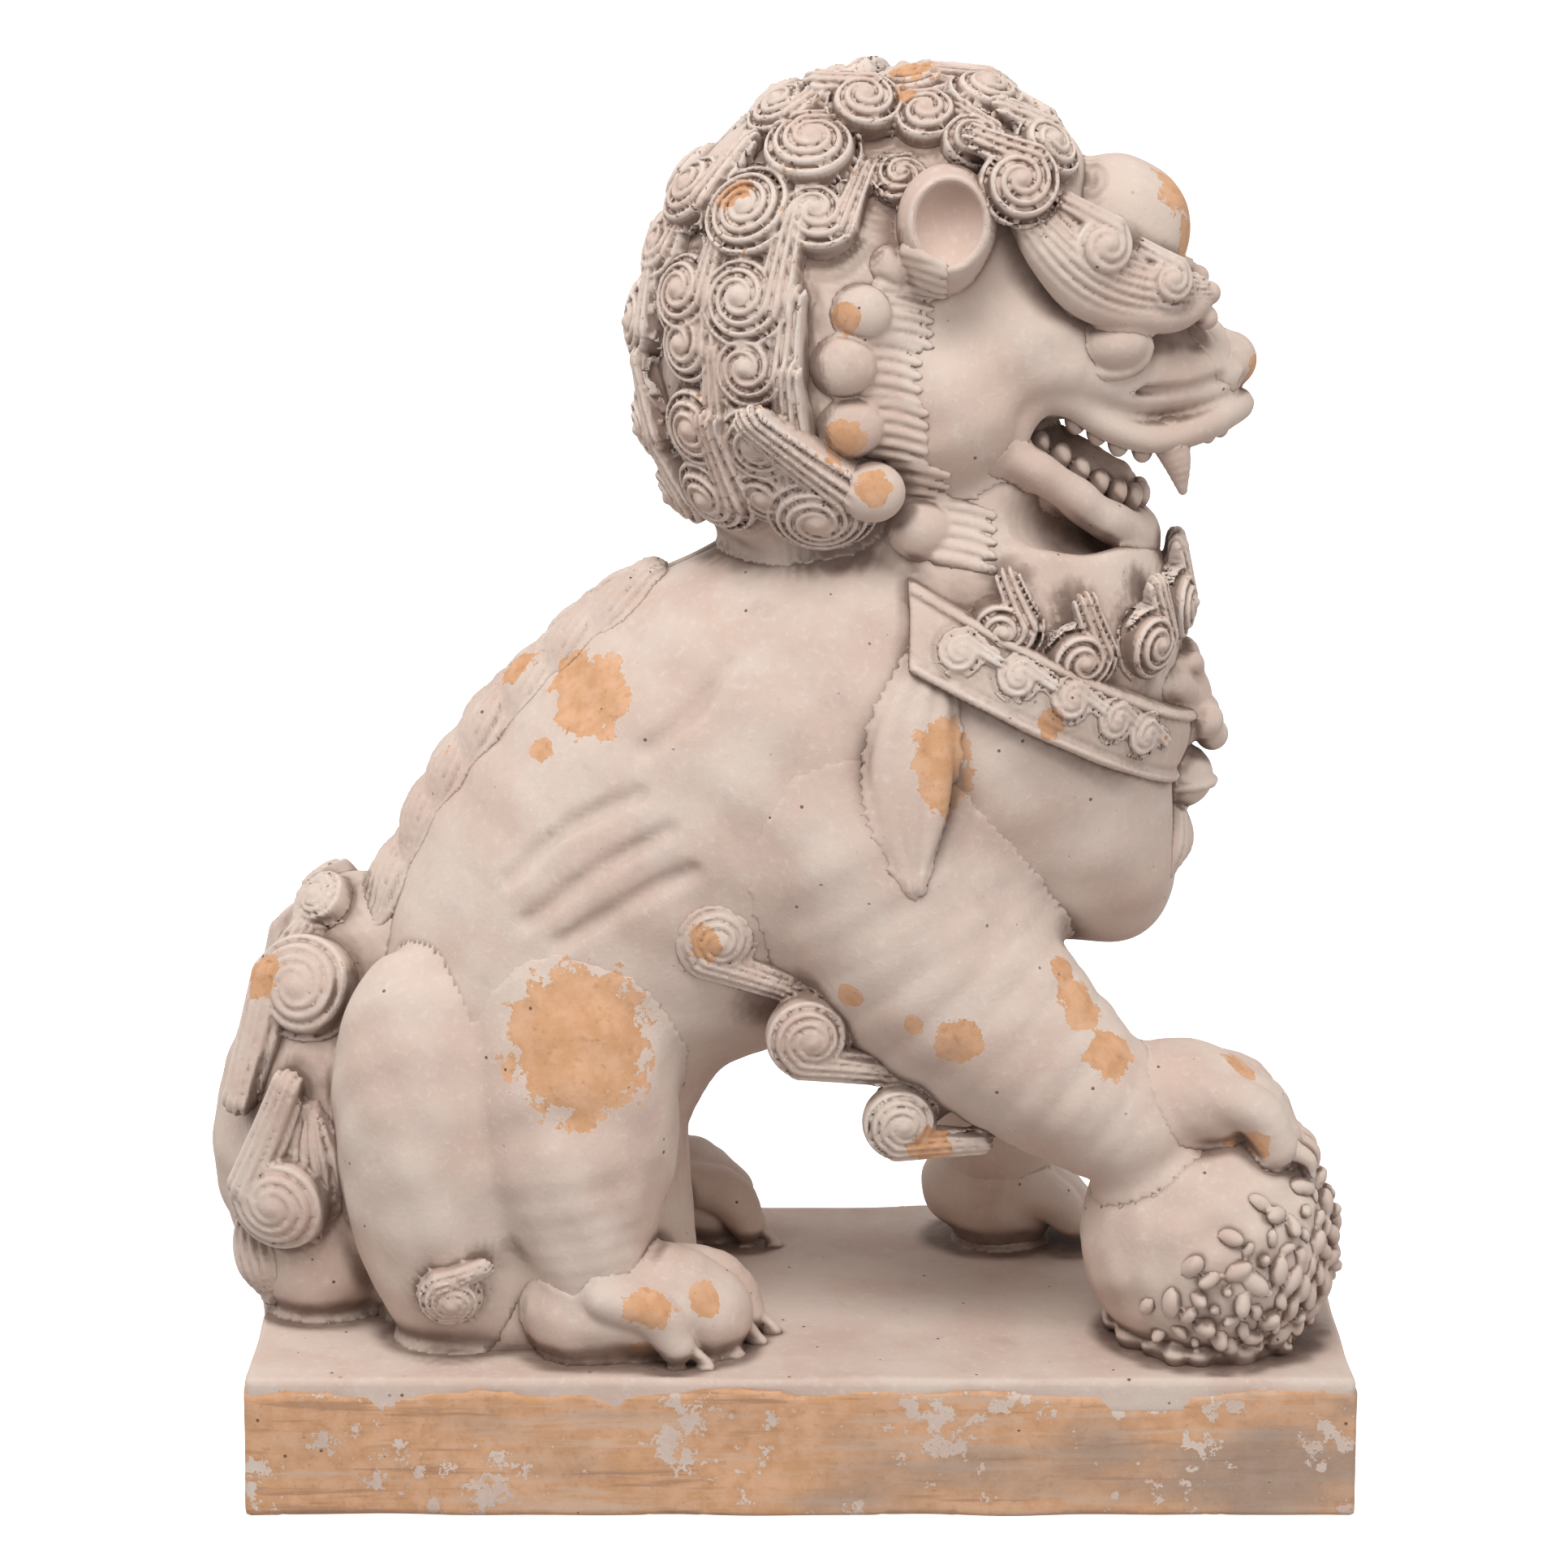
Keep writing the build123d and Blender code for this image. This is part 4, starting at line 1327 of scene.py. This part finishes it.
@dataclass
class Tail:
    """The upright tail, a core covered with long locks, and the locks along the spine.

    Attributes:
        curls: (x, z, radius, tail in radii, x of tail, z of tail, how far out to the side, 0 to 1).
    """

    curls: Sequence[Triple] = (
        (-207, 206, 24, 2.2, -0.25, -0.95, 1.0), (-217, 120, 24, 2.0, 0.35, 1.0, 1.0),
        (-200, 238, 14, 1.4, 0.2, -1, 0.6),
    )

    def build(self, shop: Workshop) -> None:
        """Lays the core and the locks."""
        rod = [(-186, 0, 222, 26), (-203, 0, 180, 34), (-213, 0, 128, 40), (-206, 0, 76, 32)]
        core = Clay(Limb(rod), blend=14)
        for side in (RIGHT, LEFT):
            flank = [(-196, side * 16, 200, 24), (-206, side * 24, 150, 30), (-204, side * 24, 84, 28)]
            core.add(Limb(flank), 14)
        shop.lay("tail_core", Rough(core, 28, 0.6, 11), 9, 2.2)
        for name, side in SIDES:
            group = Clay(blend=2)
            for x, z, r, tail, tx, tz, out in self.curls:
                start = (x - 60 * (1 - out), side * 110, z)
                spot, normal = on_surface(shop.under, start, (60 * (1 - out), -side * 100, 0), 108)
                group.add(Curl(spot, normal, (tx, 0, tz), r, 0.6 * r, tail, (-1, 0, 0)), 2)
            for x, z, lean in ((-206, 234, -8), (-198, 158, 4), (-230, 112, 4)):
                seats = []
                for i, w in enumerate((4, 11, 11, 4)):
                    start = (x + lean * i / 2 - 20, side * 120, z - 14 * i)
                    seats.append((*on_surface(shop.under, start, (20, -side * 100, 0), 116)[0], w))
                group.add(Lock(seats, (-0.35, side, 0.0), 6, 5, 1.6), 2)
            shop.lay(f"{name}_tail_curls", group, 2.5, 1.4)
        self.spine(shop)

    def spine(self, shop: Workshop) -> None:
        """Lays the locks along the spine, each over the root of the next."""
        row = Clay(blend=2)
        for x, z in reversed(Body.locks):
            spot, normal = on_surface(shop.under, (x - 40, 0, z + 60), (40, 0, -60))
            down = np.cross(normal, (0, 1, 0))
            down = down * (-1 if down[0] > 0 else 1)
            for side in (RIGHT, LEFT):
                a, b = spot - down * 14, spot + down * 16
                line = [
                    (*(a + (0, side * 5, 0)), 9), (*(spot + (0, side * 13, -3)), 14),
                    (*(b + (0, side * 20, -9)), 4),
                ]
                row.add(Lock(line, normal + (0, side * 0.5, 0), 9, 6, 1.8), 1.5)
        shop.lay("spine_locks", row, 3, 1.4)


@dataclass
class Head:
    """The hollow head with its muzzle, in two halves, and the pieces luted to it.

    Attributes:
        lip: the rolled edge of the upper lip, right side: (x, y, z, radius).
        groove: the crease above the rolled lip.
        jaw: the lower jaw's rim, right side: (x, y, z, radius).
        teeth: places of the lower teeth, right side.
    """

    lip: Sequence[Triple] = (
        (86, -47, 436, 5), (89, -46, 449, 6.5), (98, -44, 459, 7), (108, -43, 457, 6.5), (119, -40, 450, 6.5),
        (130, -37, 443, 6.5), (142, -34, 440, 6.5), (155, -29, 441, 6.5),
        (167, -22, 444, 6.5), (177, -13, 448, 6.5),
        (182, 0, 449, 6.5),
    )
    groove: Sequence[Triple] = (
        (112, -46, 470), (124, -42, 464), (143, -39, 460), (160, -32, 460), (172, -22, 462),
    )
    jaw: Sequence[Triple] = (
        (74, -48, 438, 9), (86, -47, 434, 8.5), (99, -44, 426, 8), (111, -40, 417, 8), (123, -33, 407, 8.5),
        (133, -22, 400, 9), (139, -10, 396, 10), (140, 0, 395, 10),
    )
    teeth: Sequence[Triple] = (
        (88, -38, 440), (97, -38, 436), (106, -37, 431), (114, -34, 425), (122, -30, 419), (130, -24, 414),
        (137, -16, 411), (141, -5.5, 410),
    )

    def build(self, shop: Workshop) -> None:
        """Lays the head and its pieces, the inner ones first."""
        head = Clay(
            Egg((8, 0, 476), (72, 74, 98)), Egg((62, 0, 522), (62, 58, 58)),
            Egg((84, 0, 488), (52, 56, 46)), blend=12,
        )
        head.add(Limb([(90, 0, 490, 40), (130, 0, 476, 30), (160, 0, 466, 21)]), 12)
        for side in (RIGHT, LEFT):
            cheek = [(88, -28, 478, 29), (122, -27, 468, 22), (148, -20, 462, 17), (164, -10, 460, 14)]
            head.add(Limb(sided(cheek, side)), 10)
            head.add(Egg((56, side * 50, 452), (32, 20, 30)), 12)
            head.add(Egg((92, side * 42, 474), (26, 14, 20)), 10)
        head.cut(Egg((122, 0, 426), (50, 50, 17), pitch=-16), 4)
        head.cut(Limb([(112, -52, 402, 14), (112, 52, 402, 14)]), 6)
        for side in (RIGHT, LEFT):
            head.cut(Limb([*sided([(*p, 1.8) for p in self.groove], side)]), 5)
        head.add(Limb(whole_arch(self.lip), 3), 3.5)
        shop.lay_halves("head_{}_half", Rough(head, 26, 0.5, 12), 10, 1.9)
        shop.lay("forehead_boss", Rough(Egg((129, 0, 521), (31, 34, 31), pitch=-30), 26, 0.5, 13), 4, 1.7)
        self.nose(shop)
        self.mouth(shop)

    def nose(self, shop: Workshop) -> None:
        """Lays the nose with its wings and nostrils."""
        nose = Clay(Egg((177, 0, 467), (12, 10, 12)), blend=4)
        for side in (RIGHT, LEFT):
            nose.add(Egg((173, side * 11, 463), (10, 8, 8)), 4)
            nose.add(Limb(sided([(150, -10, 484, 4), (162, -15, 478, 5), (168, -19, 468, 4)], side)), 4)
        for side in (RIGHT, LEFT):
            nose.cut(Egg((182, side * 12, 459), (5, 4.2, 4.5)), 2)
        shop.lay("nose", nose, 3, 1.3)

    def mouth(self, shop: Workshop) -> None:
        """Lays the lower jaw, the tongue, the teeth and the fangs."""
        jaw = Clay(Limb(whole_arch(self.jaw), 3), blend=3)
        jaw.add(Egg((102, 0, 414), (36, 34, 8), pitch=-22), 6)
        shop.lay("lower_jaw", Rough(jaw, 22, 0.5, 14), 4, 1.6)
        tongue = Clay(Limb([(84, 0, 432, 12), (108, 0, 425, 13), (130, 0, 417, 9)]), blend=3)
        tongue.cut(Limb([(84, 0, 446, 1.5), (108, 0, 440, 1.5), (132, 0, 428, 1.5)]), 4)
        shop.lay("tongue", tongue, 3, 1.6)
        lower, upper, fangs = Clay(blend=0), Clay(blend=0), Clay(blend=0)
        for side in (RIGHT, LEFT):
            for x, y, z in sided(self.teeth, side):
                lower.add(Egg((x, y * 0.93, z + 1), (4.6, 4.6, 6.2), pitch=-15), 0.6)
            for x, y, z in sided([(112, -37, 448), (121, -35, 443), (130, -32, 438), (140, -29, 435)], side):
                upper.add(Egg((x, y, z), (4.6, 4.2, 6.5)), 0.6)
            for x, y, z in sided([(168, -14, 440), (174, -5, 441)], side):
                upper.add(Egg((x, y, z), (4, 5, 6)), 0.6)
            fangs.add(Limb(sided([(150, -29, 440, 8), (154, -29, 430, 6), (157, -28, 417, 2)], side)), 0)
        shop.lay("lower_teeth", lower, 1.0, 1.2)
        shop.lay("upper_teeth", upper, 1.0, 1.2)
        shop.lay("upper_fangs", fangs, 1.5, 1.2)


@dataclass
class Face:
    """Eyes, flaming brows and ears, the same on both sides.

    Attributes:
        brow: lower edge of the right brow: (x, y, z, radius).
        spirals: (x, y, z, radius) of the two curls on its upper edge.
    """

    brow: Sequence[Triple] = (
        (88, -62, 532, 5), (98, -60, 516, 7), (110, -56, 502, 8), (124, -53, 495, 8), (138, -48, 492, 7.5),
        (151, -40, 491, 7), (161, -30, 494, 5.5),
    )
    spirals: Sequence[Triple] = ((119, -60, 521, 14), (147, -49, 506, 11))

    def build(self, shop: Workshop) -> None:
        """Lays the features of both sides."""
        for name, side in SIDES:
            eye = Clay(Egg((127, side * 46, 481), (14, 12, 12)), blend=1)
            ring = [
                (126 + 14 * math.cos(t), side * (50 - abs(math.cos(t)) * 3), 479 + 10.5 * math.sin(t), 2.6)
                for t in np.linspace(0, 2 * math.pi, 14)
            ]
            eye.add(Limb(ring, 2), 1.5)
            shop.lay(f"{name}_eye", eye, 2, 1.1)
            shop.lay(f"{name}_brow", self.flame(side), 3, 1.2)
            self.ear(shop, name, side)

    def flame(self, side: float) -> Clay:
        """Returns one brow: a combed ridge with two curls on its upper edge."""
        mid = [
            (84, -58, 545, 7), (101, -58, 524, 14), (120, -53, 509, 16),
            (140, -44, 502, 14), (158, -31, 499, 8),
        ]
        brow = Clay(Lock(sided(mid, side), (0.4, side, 0.15), 11, 8, 1.6), blend=3)
        brow.add(Limb(sided(self.brow, side)), 2)
        for x, y, z, r in sided(self.spirals, side):
            looks = (0.45, side, 0.25)
            brow.add(Curl((x, y, z), looks, (-0.8, 0, 0.5), r, 0.6 * r, 1.5, (1, 0, 1), 3.2, 1.3), 2)
        for x, y, z in sided([(166, -26, 498), (165, -27, 488)], side):
            brow.add(Egg((x, y, z), (5, 5, 5)), 1.5)
        return brow

    def ear(self, shop: Workshop, name: str, side: float) -> None:
        """Lays one cupped ear."""
        ear = Clay(Egg((58, side * 62, 531), (20, 18, 23)), blend=3)
        ear.add(Egg((56, side * 60, 516), (14, 14, 14)), 6)
        ear.cut(Egg((59, side * 80, 532), (15, 18, 18)), 2.0)
        shop.lay(f"{name}_ear", ear, 4, 1.3)


@dataclass
class Mane:
    """Snail-shell curls on the head and neck, beads along the jaw, curls of the beard.

    Each curl is (x, y, z, radius, tail in radii, x of its tail, z of its tail), for the right side.

    Attributes:
        side_curls: curls on each side of the head and neck.
        back_curls: curls on the nape.
        top_curls: curls on the crown.
        temple_curls: curls over the brows.
        scale: how much wider the curls are laid than listed.
        beads: (x, y, z, radius) of the beads along the jaw.
        beard: (x, y, z, radius) of the curls under the chin.
    """

    side_curls: Sequence[Triple] = (
        (3, -50, 571, 17, 1.5, 1, 0.35), (45, -60, 563, 9, 0.0, 1, 0), (-25, -60, 541, 16, 0.0, 0.2, 1),
        (4, -70, 542, 14, 1.6, 0.3, 1), (-26, -74, 504, 17, 1.7, 0.15, 1), (-52, -55, 505, 15, 1.4, 0.1, 1),
        (-23, -78, 475, 17, 1.4, 0.2, 1), (-51, -60, 483, 14, 1.3, 0, 1), (-49, -62, 445, 16, 1.5, 0.1, 1),
        (-22, -80, 441, 17, 1.4, 0.15, 1), (-53, -62, 404, 16, 1.7, 0.1, 1),
        (3, -80, 400, 20, 2.0, -0.6, 0.8),
        (-24, -80, 408, 14, 1.4, 0.15, 1),
    )
    back_curls: Sequence[Triple] = (
        (-46, -30, 544, 15, 1.5, 0.3, 1), (-67, -20, 486, 15, 1.5, 0, 1), (-69, -20, 440, 15, 1.5, 0, 1),
        (-72, -20, 397, 14, 1.5, 0, 1), (-60, -26, 520, 13, 1.2, 0.1, 1),
    )
    top_curls: Sequence[Triple] = (
        (42, -12, 592, 16, 1.3, -1, 0.2), (78, -22, 586, 14, 1.3, -1, 0.4), (20, -36, 584, 13, 1.3, -1, 0.4),
        (50, -40, 578, 12, 1.3, -1, 0.4), (-14, -20, 576, 14, 1.3, 0.3, 1),
    )
    temple_curls: Sequence[Triple] = (
        (106, -38, 563, 13, 1.4, -1, 0.2), (72, -50, 568, 11, 1.0, -0.5, 1),
        (84, -60, 545, 14, 1.3, -0.9, 0.5),
    )
    scale: float = 1.22
    beads: Sequence[Triple] = (
        (36, -76, 513, 9), (24, -74, 496, 12), (17, -76, 475, 13), (20, -76, 450, 13), (29, -74, 424, 13),
        (48, -68, 406, 13),
    )
    beard: Sequence[Triple] = (
        (140, -11, 372, 13), (124, -30, 367, 13), (104, -42, 366, 13), (84, -54, 372, 12),
    )

    def build(self, shop: Workshop) -> None:
        """Lays every group of curls."""
        middle, crown, chin = (np.array(p) for p in ((20, 0, 470), (50, 0, 520), (90, 0, 385)))
        beard = [(*b, 1.3, -0.3, 1) for b in self.beard]
        both = (RIGHT, LEFT)
        for name, side in SIDES:
            self.sprig(shop, f"{name}_mane_curls", self.side_curls, middle, (side,))
        self.sprig(shop, "back_mane_curls", self.back_curls, middle, both)
        self.sprig(shop, "crown_curls", self.top_curls, crown, both)
        self.sprig(shop, "temple_curls", self.temple_curls, crown, both)
        for name, side in SIDES:
            self.jaw_line(shop, name, side)
        self.sprig(shop, "beard_curls", beard, chin, both, 2.5, 1.3)

    def sprig(
        self, shop: Workshop, node: str, curls: Sequence[Triple], middle: np.ndarray,
        sides: Sequence[float], blend: float = 2.0, step: float = 1.6,
    ) -> None:
        """Lays a group of curls as one piece.

        Args:
            shop: the workshop.
            node: the CAD node it stands for.
            curls: the curls.
            middle: the point they are walked towards.
            sides: the sides they are made on.
            blend: width over which its edge is smoothed down.
            step: distance between its points in mm.
        """
        shop.lay(node, self.group(shop, curls, middle, sides), blend, step, divide=True)

    def group(
        self, shop: Workshop, curls: Sequence[Triple], middle: np.ndarray, sides: Sequence[float]
    ) -> Clay:
        """Seats curls on the clay that is there.

        Args:
            shop: the workshop.
            curls: the curls.
            middle: the point they are walked towards.
            sides: the sides they are made on.
        Returns:
            The curls' clay.
        """
        clay = Clay(blend=1.2)
        for side in sides:
            for x, y, z, r, tail, tx, tz in curls:
                spot = np.array((x, -side * y, z), np.float32)
                away = unit(spot - middle)
                seat, normal = on_surface(shop.under, spot + away * 40, -away)
                normal = unit(normal + away)
                height = 0.62 * r if tail else 0.5 * r
                forward = (1, 0, 0) if abs(tx) < 0.7 else (0, 0, 1)
                r *= self.scale
                strands = max(3.0, r / 4.2)
                clay.add(Curl(seat, normal, (tx, 0, tz), r, height, tail, forward, strands, 2.6), 1.2)
        return clay

    def jaw_line(self, shop: Workshop, name: str, side: float) -> None:
        """Lays the beads along one side of the jaw, with whiskers combed forward from them."""
        beads = Clay(blend=1.5)
        for x, y, z, r in sided(self.beads, side):
            spot, normal = shop.beside(x, z, side)
            beads.add(Egg(spot, (r, r * 0.62, r * 0.95)), 1.5)
            for i in range(5):
                z0 = z - r * 0.8 + i * r * 0.4
                line = [(x + r * 0.6, z0, 2.6), (x + r * 1.5, z0 - 2, 2.2), (x + r * 2.3, z0 - 5, 1.0)]
                seats = [(*shop.beside(a, b, side)[0], c) for a, b, c in line]
                beads.add(Limb(seats), 1.2)
        shop.lay(f"{name}_jaw_beads", beads, 2.5, 1.3)


@dataclass
class Collar:
    """The strap with its scrolls, and the mask, bell and tassel that hang from it.

    Attributes:
        way: the way square to the strap's middle plane.
        along: the way down the slope of the strap.
        offset: distance of that plane from the origin.
        half: half the strap's width.
        proud: the strap's thickness.
    """

    way: Triple = (0.475, 0.0, 0.880)
    along: Triple = (0.880, 0.0, -0.475)
    offset: float = 346.5
    half: float = 15.0
    proud: float = 6.0

    def build(self, shop: Workshop) -> None:
        """Lays the strap and its ornaments."""
        trunk = Clay(Trunk(TRUNK_SECTIONS), blend=0)
        box = ((44, -95, 280), (175, 95, 400))
        strap = Strap(trunk, self.way, self.offset, self.half, self.proud, box)
        shop.lay("collar_band", Rough(strap, 24, 0.3, 15), 1.5, 1.5)
        scrolls = Clay(blend=1)
        along = np.array(self.along)
        for side in (RIGHT, LEFT):
            for share in (8, 30, 52, 74, 93):
                start = np.array((56.0, 0, 364.0)) + along * share
                outside = (start[0] + share * 0.6, side * 150, start[2])
                spot, normal = on_surface(shop.under, outside, (-0.006 * share, -side, 0))
                scrolls.add(Curl(spot, normal, along, 8.5, 2.6, 1.6, self.way, 2.4, 1.0), 1)
        shop.lay("collar_scrolls", scrolls, 2.0, 1.2)
        mask = Clay(Egg((158, 0, 322), (16, 17, 20)), blend=3)
        for side in (RIGHT, LEFT):
            mask.add(Limb(sided([(160, -8, 326, 9), (154, -24, 334, 8), (143, -34, 336, 5)], side)), 3)
            mask.add(Egg((170, side * 9, 316), (8, 8, 8)), 2)
            mask.add(Limb(sided([(165, -4, 336, 5), (163, -14, 342, 5), (154, -20, 340, 4)], side)), 2)
        mask.add(Egg((174, 0, 308), (7, 9, 7)), 2)
        shop.lay("collar_mask", mask, 2.5, 1.3)
        bell = Clay(Egg((160, 0, 290), (15, 15, 14)), blend=2)
        turns = np.linspace(0, 6.283, 16)
        bell.add(Limb([(160 + 15 * math.cos(t), 15 * math.sin(t), 288, 2.2) for t in turns], 1), 1)
        shop.lay("collar_bell", bell, 2.5, 1.3)
        tassel = Clay(blend=1)
        for i in range(7):
            y = (i - 3) * 5.2
            top, low = (158, y * 0.7, 276, 4), (156 - abs(y) * 0.5, y * 1.2, 248, 2)
            line = [top, (160 - abs(y) * 0.3, y, 262, 5.5), low]
            tassel.add(Lock(line, (1, 0, 0.1), 7, 2, 0.9), 1)
        shop.lay("collar_tassel", tassel, 2.5, 1.2)


# ---- studio -----------------------------------------------------------------------------------
@dataclass
class Studio:
    """A white sweep, soft lights and the camera, in metres.

    Attributes:
        lamps: name, place, what it looks at, side and watts of each soft light.
        world: strength of the white light from all around.
        lens: focal length in mm.
        sensor: width of the film in mm.
        place: where the camera stands.
        tilt: degrees that it looks down.
    """

    lamps: Sequence[tuple[str, Triple, Triple, float, float]] = (
        ("key", (-0.5, -1.7, 3.0), (0, 0, 0.25), 1.5, 66.0),
        ("fill", (2.4, -2.2, 1.3), (0, 0, 0.3), 2.0, 18.0),
        ("rim", (-2.4, 0.8, 1.8), (0, 0, 0.3), 1.6, 14.0),
    )
    world: float = 0.50
    lens: float = 102.89
    sensor: float = 36.0
    place: Triple = (-0.0067, -1.84385, 0.7385)
    tilt: float = 13.79

    def build(self) -> None:
        """Sets the sweep, the lights, the world and the camera."""
        self.sweep()
        for lamp in self.lamps:
            self.light(*lamp)
        world = bpy.data.worlds.new("studio")
        world.use_nodes = True
        world.node_tree.nodes["Background"].inputs["Color"].default_value = (1, 1, 1, 1)
        world.node_tree.nodes["Background"].inputs["Strength"].default_value = self.world
        bpy.context.scene.world = world
        bpy.context.scene.view_settings.view_transform = "Standard"
        camera = bpy.data.objects.new("camera", bpy.data.cameras.new("camera"))
        camera.data.lens, camera.data.sensor_width = self.lens, self.sensor
        camera.location = self.place
        camera.rotation_euler = (math.radians(90 - self.tilt), 0, 0)
        camera.data.clip_end = 100.0
        bpy.context.scene.collection.objects.link(camera)
        bpy.context.scene.camera = camera

    def sweep(self) -> None:
        """Makes the white floor that curves up behind the lion."""
        line = [(-14.0, 0.0), (2.2, 0.0)]
        line += [(2.2 + 1.4 * math.sin(t), 1.4 - 1.4 * math.cos(t)) for t in np.linspace(0.1, math.pi / 2, 12)]
        line += [(3.6, 9.0)]
        points = [(x, y, z) for y, z in line for x in (-14.0, 14.0)]
        faces = [(2 * i, 2 * i + 1, 2 * i + 3, 2 * i + 2) for i in range(len(line) - 1)]
        mesh = bpy.data.meshes.new("sweep")
        mesh.from_pydata(points, [], faces)
        for polygon in mesh.polygons:
            polygon.use_smooth = True
        g = Graph("paper")
        looks = {
            "Base Color": (0.9, 0.9, 0.9, 1), "Roughness": 0.95,
            "Emission Color": (1, 1, 1, 1), "Emission Strength": 0.8,
        }
        mesh.materials.append(g.closed(g.node("ShaderNodeBsdfPrincipled", **looks)))
        sweep = bpy.data.objects.new("sweep", mesh)
        bpy.context.scene.collection.objects.link(sweep)
        sweep.visible_diffuse = False

    def light(self, name: str, place: Triple, target: Triple, size: float, watts: float) -> None:
        """Hangs a soft square light that looks at a point."""
        lamp = bpy.data.lights.new(name, "AREA")
        lamp.size, lamp.energy = size, watts
        made = bpy.data.objects.new(name, lamp)
        made.location = place
        made.rotation_euler = (Vector(target) - Vector(place)).to_track_quat("-Z", "Y").to_euler()
        bpy.context.scene.collection.objects.link(made)


def main() -> None:
    """Builds the lion piece by piece, then the studio around it."""
    shop = Workshop()
    for finish in (Limewash("wash"), Limewash("bare", chipping=0.52, streaks=True)):
        shop.materials[finish.name] = finish.material()
    for maker in (Plinth(), Body(), Forelegs(), Tail(), Head(), Face(), Mane(), Collar()):
        maker.build(shop)
        LOG.info("%s laid", type(maker).__name__)
    shop.unpack(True)
    Studio().build()


if __name__ == "__main__":
    logging.basicConfig(level=logging.INFO, format="%(message)s")
    main()
